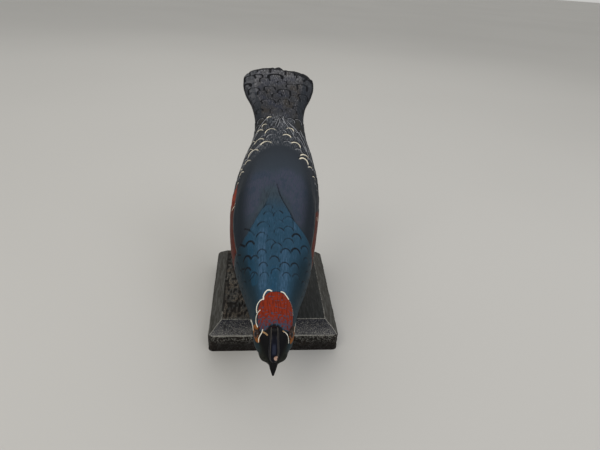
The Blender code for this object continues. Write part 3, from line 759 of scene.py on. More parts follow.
carveFeathers()
for points, thick in plumage["coverts"]:
    gap = lineGap(rounded(points))
    skin["greyLine"] = np.maximum(skin["greyLine"], thick / 2 - gap)
    # with a painted shadow in a thin dark line beside each covert's edge
    shadow = plumage["covertShadow"]
    skin["darkLine"] = np.maximum(skin["darkLine"], shadow - np.abs(gap - thick / 2 - shadow))
# a dark line along each: painted shade in the wings' cuts, and the neck's own dark strokes
for points, thick, depth in plumage["grooves"]:
    gap = lineGap(rounded(points))
    skin["darkLine"] = np.maximum(skin["darkLine"], thick / 2 - gap)
    skin["crest"] -= depth * np.exp(-(gap / plumage["grooveHalf"]) ** 2)
print("feathers laid out")


def makeBirdMesh():
    along, degrees = skin["along"], skin["degrees"]
    rings, count = along.shape
    normal = outward(skin["grid"])
    lift = skin["relief"] + skin["crest"] * ease(along, *bird["feathersStart"])
    for place, spread, turned, turnedSpread, height in (bird["cheek"], bird["nostril"]):
        lift += height * np.exp(-((along - place) / spread) ** 2 - ((degrees - turned) / turnedSpread) ** 2)
    fromMouth = np.radians(degrees - valueAt(along, bird["mouthLine"])) * valueAt(along, bird["mouthReach"])
    mouth = np.exp(-(fromMouth / bird["mouthHalf"]) ** 2)
    lift -= bird["mouthDepth"] * mouth * (1 - ease(along, *bird["mouthEnd"]))
    fromEdge = bird["wingLowerDegrees"] - degrees
    for place, low, high in bird["wingCuts"]:
        cut = np.exp(-((fromEdge - place) / bird["wingCutHalf"]) ** 2)
        lift -= bird["wingCutDepth"] * cut * ease(along, low, low + 12) * (1 - ease(along, high - 10, high))
    world = toWorld(skin["grid"] + normal * lift[..., None])
    wobble = sum(softNoise(world / mm, size, seed) * height for size, seed, height in bird["facets"])
    quiet = ease(along, 2, 12) * (1 - ease(along, wholeLength - 8, wholeLength - 2))
    world = world + normal * (wobble * quiet)[..., None] * mm
    piece, ring, column = reshapedSphere("birdBody", count, rings + 1, world)
    # a flat map of the skin, in metres along and round; faces across the belly's seam are carried on past it
    mesh = piece.data
    layerMap = mesh.uv_layers.new(name="skin")
    corners = np.empty(len(mesh.loops), int)
    mesh.loops.foreach_get("vertex_index", corners)
    starts, totals = np.empty((2, len(mesh.polygons)), int)
    mesh.polygons.foreach_get("loop_start", starts)
    mesh.polygons.foreach_get("loop_total", totals)
    face = np.repeat(np.arange(len(starts)), totals)
    u = along[ring, column][corners]
    v = skin["around"][ring, column][corners]
    side = column[corners]
    low = np.full(len(starts), count)
    high = np.zeros(len(starts), int)
    np.minimum.at(low, face, side)
    np.maximum.at(high, face, side)
    wraps = ((high - low) > count / 2)[face]
    v = np.where(wraps & (side < count / 2), v + 2 * np.abs(v), v)
    layerMap.data.foreach_set("uv", (np.stack([u, v], -1) * mm).astype(np.float32).ravel())
    return piece, ring, column


birdBody, ringOf, columnOf = makeBirdMesh()
print("bird's mesh made:", len(birdBody.data.polygons), "faces")


def paintRegions():
    # what the bird's paint reads: distances to the borders of its regions in mm, positive inside, and places
    along, around, degrees = skin["along"], skin["around"], skin["degrees"]
    values = {name: skin[name] for name in ("creamLine", "darkLine", "greyLine", "crest")}
    values["crownEdge"] = regionGap(paintLines["crown"])
    values["blackEdge"] = regionGap(paintLines["black"])
    values["socketEdge"] = np.maximum(*(regionGap(corners) for corners in paintLines["socket"]))
    for name in ("white", "tan", "wing", "blue", "ochre"):
        line = np.full(along.shape, -3.0)
        for points, thick in paintLines[name]:
            line = np.maximum(line, thick / 2 - lineGap(rounded(points)))
        values[name + "Line"] = line
    for name in ("pale", "teal"):
        soft = np.zeros(along.shape)
        for points, wide in paintLines[name]:
            soft = np.maximum(soft, 1 - ease(lineGap(rounded(points)), wide * 0.35, wide))
        values[name] = soft
    patches = np.zeros(along.shape)
    for a, b, deep, wide in paintLines["wingPatches"]:
        patches += np.exp(-((along - a) / deep) ** 2 - ((around - b) / wide) ** 2)
    values["wingPatch"] = np.clip(patches, 0, 1)
    values["behindMantle"] = along - skin["mantle"]
    # the mantle's painted edge is crisp on the right and soft on the left
    values["mantleEdge"] = values["behindMantle"] / np.where(around < -2, 6.0, 1.0)
    values["behindWing"] = along - skin["wingEnd"]
    # the tail's upper side turns over to its thick end here
    values["tailEdge"] = along - valueAt(around, bird["tailRim"])
    values["degrees"] = degrees
    reach = np.where(around < 0, valueAt(degrees, paintLines["flankLeft"]),
                     valueAt(degrees, paintLines["flankRight"]))
    tipDepth, tipWidth = paintLines["flankTips"]
    values["flank"] = reach + tipDepth * np.abs(np.sin(around / tipWidth * math.pi)) - along
    values["alongBird"] = along
    values["sideways"] = around
    addAttributes(birdBody, {name: value[ringOf, columnOf] for name, value in values.items()})
    return list(values)


birdPaint = {
    "neckBlue": "#27475d",
    "neckPale": "#405e7a",
    "neckTeal": "#1a435c",
    "neckDark": "#1e3644",
    "neckDeep": "#162730",
    "featherPale": "#466681",
    "wingSlate": "#343c46",
    "wingDark": "#1e252d",
    "wingPurple": "#404354",
    # a pale line along the top of the wing's lower edge
    "wingEdgePale": "#4e5454",
    "backSlate": "#38454f",
    "rumpSlate": "#2d3239",
    "tailCharcoal": "#3a3b3f",
    "tailDark": "#27282c",
    "tailDry": "#8a8a8e",
    "tailBase": "#34332f",
    "tailBlue": "#2f323d",
    "tailBrown": "#3a3632",
    "featherBlack": "#0d0f14",
    "cream": "#e2dac6",
    "grey": "#8b8d92",
    "white": "#e6e1d2",
    "tan": "#a98760",
    "crownRed": "#832a10",
    "crownDark": "#5f1d0e",
    "crownBlue": "#34465a",
    "faceBlack": "#0b0b0e",
    "cheekTeal": "#182a30",
    "cheekGreen": "#1a1c18",
    "cheekWorn": "#393a36",
    "ochre": "#834d1b",
    "ochreDark": "#26140b",
    "chestnut": "#5c2011",
    "chestnutDark": "#2a1210",
    "rust": "#8c2f14",
    "belly": "#a88f68",
    "underTail": "#64533e",
}


def paintBird(attributes):
    # acrylic paint on carved basswood, laid on by brush and dry-brushed: satin, with the strokes and the
    # bare high spots showing
    material, tree = newMaterial("hand-painted carved basswood", Metallic=0.0, IOR=1.46,
                                 Specular_IOR_Level=0.12)
    flat = addNode(tree, "UVMap", uv_map="skin")
    place = addNode(tree, "TexCoord", output="Object")
    reads = makeReads(tree, attributes, {
        "strokes": (flat, (160, 1100, 1), 3.0, 0.5),        # brush strokes along the bird, 0.9 mm wide
        "hairs": (flat, (330, 1900, 1), 3.0, 0.5),          # fine dry-brush marks, 0.5 mm wide
        "flecks": (flat, (820, 400, 1), 2.0, 0.5),          # short marks across the crown
        "cloud": (place, (90, 90, 90), 3.0, 0.5),
        "mottle": (place, (350, 350, 350), 3.0, 0.5),
        "speck": (place, (1100, 1100, 1100), 2.0, 0.5)})
    # a little wander in every painted border
    wander = addNode(tree, "MapRange", {"Value": reads["speck"], "To Min": -0.35, "To Max": 0.35})
    for name in attributes:
        if name.endswith(("Line", "Edge", "flank")):
            reads[name] = addNode(tree, "Math", {0: reads[name], 1: wander}, operation="ADD")
    fleckLimit = addNode(tree, "MapRange", {"Value": reads["alongBird"], "From Min": 30.0, "From Max": 44.0,
                                            "To Min": 0.10, "To Max": 0.0})
    reads["fleck"] = addNode(tree, "Math", {0: reads["flecks"], 1: fleckLimit}, operation="ADD")
    neck = paintCoats(tree, birdPaint, reads, "neckBlue", [
        ("neckDark", ("degrees", 30, 62)),
        ("neckDeep", ("degrees", 20, 50, 0.85), ("alongBird", 104, 84)),
        ("neckTeal", ("teal", 0.0, 1.0, 0.8), ("strokes", 0.25, 0.6)),
        ("neckPale", ("pale", 0.0, 1.0, 0.8), ("strokes", 0.3, 0.65)),
        ("featherPale", ("crest", 0.20, 0.45, 0.5), ("hairs", 0.40, 0.62)),
        ("neckDark", ("hairs", 0.50, 0.66, 0.6)),
        ("neckPale", ("strokes", 0.54, 0.70, 0.5), ("degrees", 46, 24)),
        ("neckDeep", ("sideways", -16, -34, 0.75)),
        ("neckDeep", ("degrees", 40, 70), ("strokes", 0.52, 0.66, 0.7))])
    rump = paintCoats(tree, birdPaint, reads, "rumpSlate", [
        ("grey", ("hairs", 0.50, 0.66, 0.55), ("degrees", 55, 25)),
        ("featherBlack", ("degrees", 50, 75, 0.5))])
    tail = paintCoats(tree, birdPaint, reads, "tailCharcoal", [
        ("tailDark", ("mottle", 0.45, 0.65, 0.8)),
        ("tailBlue", ("cloud", 0.5, 0.62, 0.8)),
        ("tailBrown", ("cloud", 0.42, 0.34, 0.7)),
        ("tailDark", ("strokes", 0.5, 0.7, 0.7)),
        ("tailDry", ("crest", 0.45, 0.75, 0.35), ("hairs", 0.46, 0.62)),
        ("tailDry", ("hairs", 0.54, 0.68, 0.7), ("mottle", 0.42, 0.58)),
        ("tailDry", ("alongBird", 266, 290, 0.5), ("hairs", 0.42, 0.60))])
    flank = paintCoats(tree, birdPaint, reads, "chestnutDark", [
        ("chestnut", ("strokes", 0.3, 0.62)),
        ("rust", ("alongBird", 146, 156), ("strokes", 0.35, 0.5))])
    crown = paintCoats(tree, birdPaint, reads, "crownDark", [
        ("crownRed", ("strokes", 0.32, 0.57)),
        ("crownBlue", ("fleck", 0.60, 0.66)),
        ("crownBlue", ("alongBird", 36.0, 28.5, 0.9), ("strokes", 0.46, 0.56)),
        ("featherBlack", ("alongBird", 42.0, 31.0, 0.18))])
    face = paintCoats(tree, birdPaint, reads, "faceBlack", [
        ("cheekGreen", ("degrees", 40, 62), ("alongBird", 6, 12)),
        ("cheekWorn", ("degrees", 50, 70, 0.35), ("mottle", 0.42, 0.62),
         ("alongBird", 7, 12)),
        ("cheekTeal", ("degrees", 52, 68), ("alongBird", 14, 21))])
    body = paintCoats(tree, birdPaint, reads, "backSlate", [
        ("wingSlate", ("cloud", 0.4, 0.62, 0.6)),
        ("wingDark", ("strokes", 0.48, 0.64, 0.55)),
        ("wingSlate", ("behindWing", -44, -16)),
        # painted shade: the wings darken as their sides turn down from the back
        ("wingSlate", ("degrees", 20, 42)),
        ("wingPurple", ("wingPatch", 0.1, 0.7), ("strokes", 0.25, 0.62)),
        ("neckDark", ("wingPatch", 0.1, 0.7), ("hairs", 0.52, 0.68, 0.45)),
        ("neckDark", ("wingPatch", 0.1, 0.7), ("cloud", 0.50, 0.60, 0.3)),
        # and darker still further down the sides, painted shade
        ("wingDark", ("degrees", 26, 47)),
        ("wingDark", ("sideways", -22, -36, 0.7)),
        # a pale line along the top of the wing's lower edge, broken by the strokes
        ("wingEdgePale", ("degrees", 57.5, 60.0), ("strokes", 0.3, 0.6)),
        ("rumpSlate", ("behindWing", -30, 4)),
        (rump, ("behindWing", -2, 4)),
        (neck, ("mantleEdge", 0.3, -0.3), ("alongBird", 152, 124)),
        ("tailBase", ("alongBird", 212, 228), ("degrees", 26, 48, 0.8)),
        (tail, ("alongBird", 230, 243)),
        ("tailDry", ("sideways", -15, -27, 0.75), ("alongBird", 246, 262),
         ("degrees", 93, 84), ("mottle", 0.34, 0.6)),
        ("tailDry", ("sideways", 26, 33, 0.2), ("alongBird", 246, 262),
         ("degrees", 93, 84), ("mottle", 0.34, 0.6)),
        ("grey", ("alongBird", 218, 230), ("alongBird", 241, 233), ("degrees", 28, 8),
         ("hairs", 0.42, 0.58, 0.6)),
        ("wingDark", ("degrees", 61.0, 62.0, 0.6), ("behindMantle", 1, 5)),
        (flank, ("degrees", 61.0, 61.6), ("behindMantle", 1, 5), ("flank", -0.4, 0.4)),
        ("belly", ("degrees", 104, 116), ("alongBird", 104, 128)),
        ("underTail", ("degrees", 90, 92), ("alongBird", 216, 232)),
        # the dark lines: the feathers' own, with the painted shadows beside feathers and coverts and the
        # painted shade in the wings' cuts
        ("featherBlack", ("darkLine", -0.35, 0.55), ("alongBird", 160, 150)),
        ("featherBlack", ("darkLine", -0.3, 0.3), ("alongBird", 150, 160)),
        ("featherBlack", ("tailEdge", -0.5, 0.3, 0.85), ("degrees", 97, 93)),
        ("featherBlack", ("degrees", 84, 88.5, 0.7), ("degrees", 97, 93), ("alongBird", 236, 246)),
        ("grey", ("greyLine", -0.1, 0.3)),
        ("cream", ("creamLine", -0.15, 0.2)),
        ("cream", ("wingLine", -0.1, 0.2)),
        (face, ("blackEdge", -0.2, 0.2)),
        ("neckDeep", ("crownEdge", -0.9, -0.4, 0.8)),
        (crown, ("crownEdge", -0.2, 0.2)),
        ("crownBlue", ("blueLine", -0.15, 0.2, 0.85)),
        ("ochreDark", ("socketEdge", -0.2, 0.2)),
        ("ochre", ("ochreLine", -0.15, 0.25)),
        ("white", ("whiteLine", -0.12, 0.2)),
        ("tan", ("tanLine", -0.12, 0.2))])
    finishMaterial(material, [birdBody], body, (reads["mottle"], 0.42, 0.66),
                   (reads["strokes"], 0.35, 0.00025))


paintBird(paintRegions())
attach(birdBody, "root")
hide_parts("quail")
print("bird painted")

plume = {
    # middle line y, z in drawn mm, and its swelling
    "line": ((-118.5, 41.5), (-121.5, 47.6), (-126.0, 50.9), (-131.2, 50.6), (-135.6, 46.8), (-138.7, 40.6),
             (-140.6, 33.8)),
    "swell": (0.66, 0.74, 0.80, 0.86, 0.94, 1.0, 0.66),
    "width": 7.6,
    "thickness": 4.8,
    "segments": 64,
    "rings": 120,
    "rim": (46.0, 7.5),             # degrees from the top to each rim, and its spread
    "hollow": (26.0, 0.10),         # degrees of its spread, share of the thickness
    "ends": (2.4, 3.0),             # mm over which the root and the tip close
    "chipPlace": (0.885, 60.0),     # share along, degrees round
    "chipSize": 3.0,
    "chipDepth": 0.2115,            # share of the thickness
    "black": "#060608",
    "navy": "#0c0e1a",
    # painted highlight on the plume's glossy upper side
    "paintedGlint": "#272b3b",
    "wornEdge": "#4b4741",
    "wood": "#c9ab9c",
    "woodDark": "#96705f",
}


def makePlume():
    line = np.array(plume["line"])
    knots = np.concatenate([[0], np.cumsum(np.linalg.norm(np.diff(line, axis=0), axis=1))])
    share = np.linspace(0.0, 1.0, plume["rings"] - 1)
    where = share * knots[-1]
    y = smoothCurve(knots, line[:, 0], where)
    z = smoothCurve(knots, line[:, 1], where)
    swell = smoothCurve(knots, np.array(plume["swell"]), where)
    tangent = np.stack([np.gradient(y), np.gradient(z)], -1)
    tangent /= np.linalg.norm(tangent, axis=1, keepdims=True)
    gap = np.minimum(where / plume["ends"][0], (knots[-1] - where) / plume["ends"][1])
    swell = swell * np.sqrt(np.clip(1 - (1 - np.clip(gap, 0, 1)) ** 2, 0.004, 1))
    angle = np.linspace(0, math.tau, plume["segments"], endpoint=False)
    degrees = np.degrees(angle)
    halfWidth = plume["width"] / unit / 2 * swell[:, None]
    halfThick = plume["thickness"] / unit / 2 * swell[:, None]
    # a raised rim down each edge of the upper side, with a shallow hollow between, and a chip at the tip
    hollow = np.exp(-((degrees - 90) / plume["hollow"][0]) ** 2)
    chipAlong = (share[:, None] - plume["chipPlace"][0]) * knots[-1]
    chipRound = np.radians(degrees - plume["chipPlace"][1])[None, :] * 3.0
    chipGap = plume["chipSize"] / 2 - np.hypot(chipAlong * 0.8, chipRound)
    kept = 1 - plume["chipDepth"] * ease(chipGap, -0.15, 0.35)
    across = halfWidth * np.cos(angle) * kept
    up = halfThick * np.sin(angle) * (1.0 - plume["hollow"][1] * hollow) * kept
    points = np.stack([across, y[:, None] + up * tangent[:, 1:2], z[:, None] - up * tangent[:, 0:1]], -1)
    piece, ring, column = reshapedSphere("headPlume", plume["segments"], plume["rings"], toWorld(points))
    rimPlace, rimSpread = plume["rim"]
    rim = np.exp(-((np.abs(degrees - 90) - rimPlace) / rimSpread) ** 2)
    values = {"rim": rim * ease(share, 0.22, 0.34)[:, None], "chip": chipGap, "down": share[:, None],
              "hollow": hollow}
    addAttributes(piece, {name: np.broadcast_to(value, across.shape)[ring, column]
                          for name, value in values.items()})
    return piece, list(values)


def paintPlume(piece, attributes):
    # gloss acrylic over carved basswood, knocked at the tip so that the bare wood shows
    material, tree = newMaterial("gloss black painted basswood", Metallic=0.0, IOR=1.48,
                                 Specular_IOR_Level=0.1)
    place = addNode(tree, "TexCoord", output="Object")
    reads = makeReads(tree, attributes, {"speck": (place, (700, 700, 700), 3.0, 0.5)})
    wander = addNode(tree, "MapRange", {"Value": reads["speck"], "To Min": -0.35, "To Max": 0.35})
    reads["worn"] = addNode(tree, "Math", {0: reads["speck"], 1: 0.55, 2: reads["rim"]},
                            operation="MULTIPLY_ADD")
    reads["chipped"] = addNode(tree, "Math", {0: reads["chip"], 1: wander}, operation="ADD")
    wood = paintCoats(tree, plume, reads, "woodDark", [("wood", ("speck", 0.35, 0.6))])
    paint = paintCoats(tree, plume, reads, "black", [
        ("navy", ("down", 0.40, 0.62)),
        ("wornEdge", ("worn", 0.75, 1.1)),
        # a painted highlight in the hollow of the upper side, low down the plume
        ("paintedGlint", ("hollow", 0.3, 0.9), ("down", 0.60, 0.68), ("down", 0.84, 0.78)),
        (wood, ("chipped", -0.05, 0.15))])
    finishMaterial(material, [piece], paint, (reads["speck"], 0.24, 0.42), (reads["speck"], 0.2, 0.0002))


headPlume, plumeValues = makePlume()
paintPlume(headPlume, plumeValues)
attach(headPlume, "root")
print("plume made")

eyes = {
    "skinPlace": (12.97, -118.02, 39.08),   # where the eye's middle meets the skin, drawn mm
    "outward": (0.831, -0.378, 0.409),
    "radius": 3.5,
    "sunk": 2.2,            # mm from the skin to the ball's middle
    "pupilRadius": (1.5, 1.9),      # mm from the ball's front, where it ends and where the iris is full
    "lidRadius": 2.85,
    "lidThickness": 0.55,
    "lidSunk": 0.05,
    "lowerWay": (0.8, -0.5, -1.0),      # outward, back and up: towards the rim's ochre side
    "pupil": "#050405",
    "iris": "#2a1509",
    "lid": "#703f18",
    "lidCrease": "#23130a",
}


def makeEye(side, name):
    # the ball and the rim round it, turned to the eye's own way out of the head
    skinPlace = np.array(eyes["skinPlace"]) * (side, 1, 1)
    away = Vector(np.array(eyes["outward"]) * (side, 1, 1)).normalized()
    turned = Matrix.Rotation(math.radians(bird["turn"]), 3, "Z") @ away
    turn = turned.to_track_quat("Z", "Y").to_euler()
    middle, ringMiddle = (toWorld(skinPlace - np.array(away) * eyes[key]) for key in ("sunk", "lidSunk"))
    startModelling()
    bpy.ops.mesh.primitive_uv_sphere_add(segments=40, ring_count=24, radius=eyes["radius"] * mm,
                                         location=middle, rotation=turn)
    ball = newPiece(name + "Ball")
    bpy.ops.object.shade_smooth()
    # glossy acrylic: a clear, wet highlight over dark brown with a black pupil
    material, tree = newMaterial("glossy brown painted eye", Metallic=0.0, IOR=1.5, Roughness=0.15,
                                 Specular_IOR_Level=0.3)
    place = addNode(tree, "TexCoord", output="Object")
    front = [float(part) for part in middle + np.array(turned) * eyes["radius"] * mm]
    centred = addNode(tree, "VectorMath", {0: place, 1: front}, operation="SUBTRACT")
    gap = addNode(tree, "VectorMath", {0: centred}, output=1, operation="LENGTH")
    pupilEnd, irisStart = (radius * mm for radius in eyes["pupilRadius"])
    paint = paintCoats(tree, eyes, {"gap": gap}, "pupil", [("iris", ("gap", pupilEnd, irisStart))])
    finishMaterial(material, [ball], paint)
    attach(ball, "root")
    startModelling()
    bpy.ops.mesh.primitive_torus_add(major_radius=eyes["lidRadius"] * mm,
                                     minor_radius=eyes["lidThickness"] * mm,
                                     major_segments=56, minor_segments=16, location=ringMiddle, rotation=turn)
    lid = newPiece(name + "Lid")
    bpy.ops.object.shade_smooth()
    fromMiddle = (readVertices(lid) - ringMiddle) / mm
    addAttributes(lid, {"lower": (fromMiddle * (side, 1, 1)) @ eyes["lowerWay"]})
    return lid


def paintLids(lids):
    # ochre acrylic on the carved rim: matt, darker in the crease
    material, tree = newMaterial("ochre painted basswood", Metallic=0.0, IOR=1.4, Roughness=0.55)
    place = addNode(tree, "TexCoord", output="Object")
    reads = makeReads(tree, ("lower",), {"speck": (place, (900, 900, 900), 3.0, 0.5)})
    paint = paintCoats(tree, eyes, reads, "lidCrease", [("lid", ("speck", 0.3, 0.5), ("lower", -1.6, -0.4))])
    finishMaterial(material, lids, paint)


lids = [makeEye(-1, "leftEye"), makeEye(1, "rightEye")]
paintLids(lids)
for lid in lids:
    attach(lid, "root")
print("eyes made")

legs = {
    "spacing": 32.0,
    "thickness": 6.8,
    "top": (2.0, 40.0),         # y and height above the plinth's top, drawn mm
    "footY": -9.0,
    # share of the way down, thickness
    "profile": ((0.0, 2.6), (0.15, 2.62), (0.30, 2.5), (0.42, 2.2), (0.52, 1.85), (0.62, 1.35), (0.70, 1.05),
                (0.80, 0.95), (0.90, 0.95), (1.0, 1.1)),
    "toeLength": 21.0,
    "toeThickness": 4.6,
    "toes": ((-28, 0.88), (0, 1.0), (28, 0.88), (180, 0.55)),     # degrees from straight ahead, share
    # share along, width, height
    "toeProfile": ((-0.10, 0.9, 1.0), (0.10, 1.0, 1.0), (0.26, 0.86, 0.84), (0.36, 0.94, 0.9),
                   (0.50, 0.80, 0.76), (0.60, 0.78, 0.72), (0.70, 0.88, 0.78), (0.80, 0.78, 0.70),
                   (0.86, 0.5, 0.6), (0.93, 0.4, 0.5), (1.0, 0.16, 0.2)),
    "voxel": 0.42,              # mm, of the remesh that makes leg and toes one skin
    "scuteSpacing": 1.5,
    "scuteHalf": 0.16,          # share of the spacing
    "scuteDepth": 0.14,
    "bareLeg": (4.5, 6.5, 14.5, 16.5),      # mm above the plinth, where the leg's scutes start and end
    "bareToes": (4.0, 6.0, 5.0, 6.0),       # mm from the leg where the toes' start, and above where they end
    "fluffFrom": (15.0, 17.5),              # mm above the plinth, where the thigh's feathers start
    "fluffDepth": 0.35,
    "toeHalf": 2.6,
    "footSink": -0.25,          # mm from the plinth's top down to the soles
    "horn": "#6a543e",
    "hornDark": "#4a3a2c",
    "wash": "#1f1610",
    "claw": "#15110f",
    "fluff": "#a08a66",
    "fluffDark": "#5b4a36",
}


def extrudeAlong(stops):
    # extrudes the active circle from stop to stop, (middle, width, height) each, scaling it at every one
    bpy.ops.object.mode_set(mode="EDIT")
    bpy.ops.mesh.select_all(action="SELECT")
    for (middle, width, height), (nextMiddle, nextWidth, nextHeight) in zip(stops, stops[1:]):
        wide = nextWidth / width
        bpy.ops.mesh.extrude_region_move(TRANSFORM_OT_translate={"value": nextMiddle - middle})
        bpy.ops.transform.resize(value=(wide, wide, nextHeight / height), center_override=nextMiddle)
    bpy.ops.object.mode_set(mode="OBJECT")


def makeLeg(side, name):
    x = side * legs["spacing"] / 2 / unit
    start, foot, top = (Vector(toWorld((x, y, height))) for y, height in (
        (legs["footY"], 0), (legs["footY"], legs["toeThickness"] * 0.4 / unit), legs["top"]))
    radius = legs["thickness"] / 2 * mm * legs["profile"][0][1]
    startModelling()
    bpy.ops.mesh.primitive_circle_add(vertices=32, radius=radius, fill_type="NGON", location=top)
    leg = newPiece(name)
    extrudeAlong([(top.lerp(foot, share), thick, 1) for share, thick in legs["profile"]])
    parts = [leg]
    thickness = legs["toeThickness"] * mm
    for degrees, lengthShare in legs["toes"]:
        turn = math.radians(degrees * side + bird["turn"])
        ahead = Vector((math.sin(turn), -math.cos(turn), 0))
        length = legs["toeLength"] * lengthShare * mm
        stops = [(start + ahead * share * length + Vector((0, 0, height * thickness / 2)), width, height)
                 for share, width, height in legs["toeProfile"]]
        startModelling()
        bpy.ops.mesh.primitive_circle_add(vertices=20, radius=thickness / 2, fill_type="NGON",
                                          location=stops[0][0],
                                          rotation=ahead.to_track_quat("Z", "Y").to_euler())
        parts.append(newPiece("toe"))
        extrudeAlong(stops)
    startModelling()
    for part in parts:
        part.select_set(True)
    bpy.context.view_layer.objects.active = leg
    bpy.ops.object.join()
    faceOutward()
    for kind, settings in (("REMESH", {"mode": "VOXEL", "voxel_size": legs["voxel"] * mm}),
                           ("SMOOTH", {"factor": 0.5, "iterations": 5})):
        modifier = leg.modifiers.new(kind.lower(), kind)
        for setting, value in settings.items():
            setattr(modifier, setting, value)
        bpy.ops.object.modifier_apply(modifier=modifier.name)
    carveLeg(leg, side, foot)
    bpy.ops.object.shade_smooth()
    return leg


def carveLeg(leg, side, foot):
    # scutes round the bare leg and the toes, feathers on the thigh, flat soles, and claws
    places, normals = readVertices(leg), readVertices(leg, "normal")
    height = places[:, 2] / mm - bird["plinthTop"]
    x, y = places[:, 0] - foot.x, places[:, 1] - foot.y
    flat = np.hypot(x, y) / mm
    onLeg, onToe = (ease(value, *limits[:2]) * (1 - ease(height, *limits[2:]))
                    for value, limits in ((height, legs["bareLeg"]), (flat, legs["bareToes"])))
    wave = np.where(onLeg > 0, height + 0.25 * flat, flat) / legs["scuteSpacing"]
    groove = np.exp(-(((wave % 1.0) - 0.5) / legs["scuteHalf"]) ** 2)
    depth = groove * np.maximum(onLeg, onToe * ease(normals[:, 2], -0.1, 0.4))
    feathered = ease(height, *legs["fluffFrom"])
    fluff = softNoise(places / mm * (1, 1, 0.35), 2.2, 21) * legs["fluffDepth"] * feathered
    places += normals * ((fluff - legs["scuteDepth"] * depth) * mm)[:, None]
    places[:, 2] = np.maximum(places[:, 2], (bird["plinthTop"] + legs["footSink"]) * mm)
    leg.data.vertices.foreach_set("co", places.ravel())
    x, y = places[:, 0] - foot.x, places[:, 1] - foot.y
    length = np.full(len(places), 99.0)     # mm to the toe's end, far on the rest of the leg
    for degrees, share in legs["toes"]:
        turn = math.radians(degrees * side + bird["turn"])
        ahead = x * math.sin(turn) - y * math.cos(turn)
        aside = np.abs(x * math.cos(turn) + y * math.sin(turn))
        onThis = (ahead > 0) & (aside < legs["toeHalf"] * mm)
        length = np.where(onThis, np.minimum(length, legs["toeLength"] * share - ahead / mm), length)
    toeEnd = np.where(height < 6, length, 99.0)
    addAttributes(leg, {"toeEnd": toeEnd, "groove": depth, "feathered": feathered})
    leg.data.update()


def paintLegs(pieces):
    # matt acrylic, horn brown over a darker wash that stays in the cuts; painted feathers on the thighs
    material, tree = newMaterial("horn brown painted basswood", Metallic=0.0, IOR=1.45)
    place = addNode(tree, "TexCoord", output="Object")
    reads = makeReads(tree, ("groove", "feathered", "toeEnd"), {"streak": (place, (900, 900, 234), 3.0, 0.5)})
    fluff = paintCoats(tree, legs, reads, "fluffDark", [("fluff", ("streak", 0.35, 0.65))])
    paint = paintCoats(tree, legs, reads, "hornDark", [
        ("horn", ("streak", 0.2, 0.8)),
        ("wash", ("groove", 0.1, 0.8)),
        ("claw", ("toeEnd", 3.2, 2.4)),
        (fluff, ("feathered", 0.0, 1.0))])
    finishMaterial(material, pieces, paint, (reads["streak"], 0.45, 0.7), (reads["streak"], 0.4, 0.0003))


bothLegs = [makeLeg(-1, "leftLeg"), makeLeg(1, "rightLeg")]
paintLegs(bothLegs)
for leg in bothLegs:
    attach(leg, "root")
print("legs made")

plinth = {
    "width": 117.0,
    "depth": 136.2,
    "side": 17.6,
    "bevelRise": 9.9,
    "bevelRun": 11.7,
    "cornerRadius": 4.5,
    "sideRings": 20,
    "bevelRings": 22,
    "topCells": (118, 144),
    "grain": 0.20,          # mm, ripple of the wood grain
    "lumps": 0.18,          # mm, broad unevenness
    "pits": 0.40,           # mm, depth of the stamped pits
    "gouges": 0.85,         # mm, depth of the gouges along the left of the top
    "wear": (0.34, 0.20),   # mm off the arrises, and how much it varies
    "lowered": 0.12,        # mm, the whole surface, so that the ripples stay inside the block
    "feet": (26, 30, 8),    # mm, half width, half depth and how far forward of the even patch for the feet
    "leftStrip": (16, 26),      # mm left of the middle, where the gouged strip of the top starts
    # silver on the bevel's upper arris at the front, the right and the rest; on its lower arris everywhere,
    # and more at the front; on the corners everywhere, and more at the front above the side
    "browSilver": (0.78, 0.66, 0.12),
    "footSilver": (0.35, 0.75),
    "cornerSilver": (0.25, 0.75),
    "arrisWidths": (0.8, 1.0, 0.9),     # mm of silver on those three
    "frontSilver": (0.46, 3.5),         # thin silver round the front's lower arris, and its fade in mm
    "frontReach": (5.8, 8.0),           # mm of dull silver above that arris and below it
    "stain": "#1a1816",
    "stainBrown": "#2a211b",
    # painted shade near the floor, on the lower part of the upright sides
    "shadeNearFloor": "#120e0b",
    "sideBevel": "#34332f",
    "sideBevelGrain": "#4f4f4d",
    "frontBevel": "#25262e",
    "topStain": "#262828",
    "topGrain": "#363838",
    "bark": "#14110e",
    "barkBrown": "#2b241e",
    "barkTan": "#7a7062",
    "silver": "#96958f",
    "silverDull": "#6a696a",
}


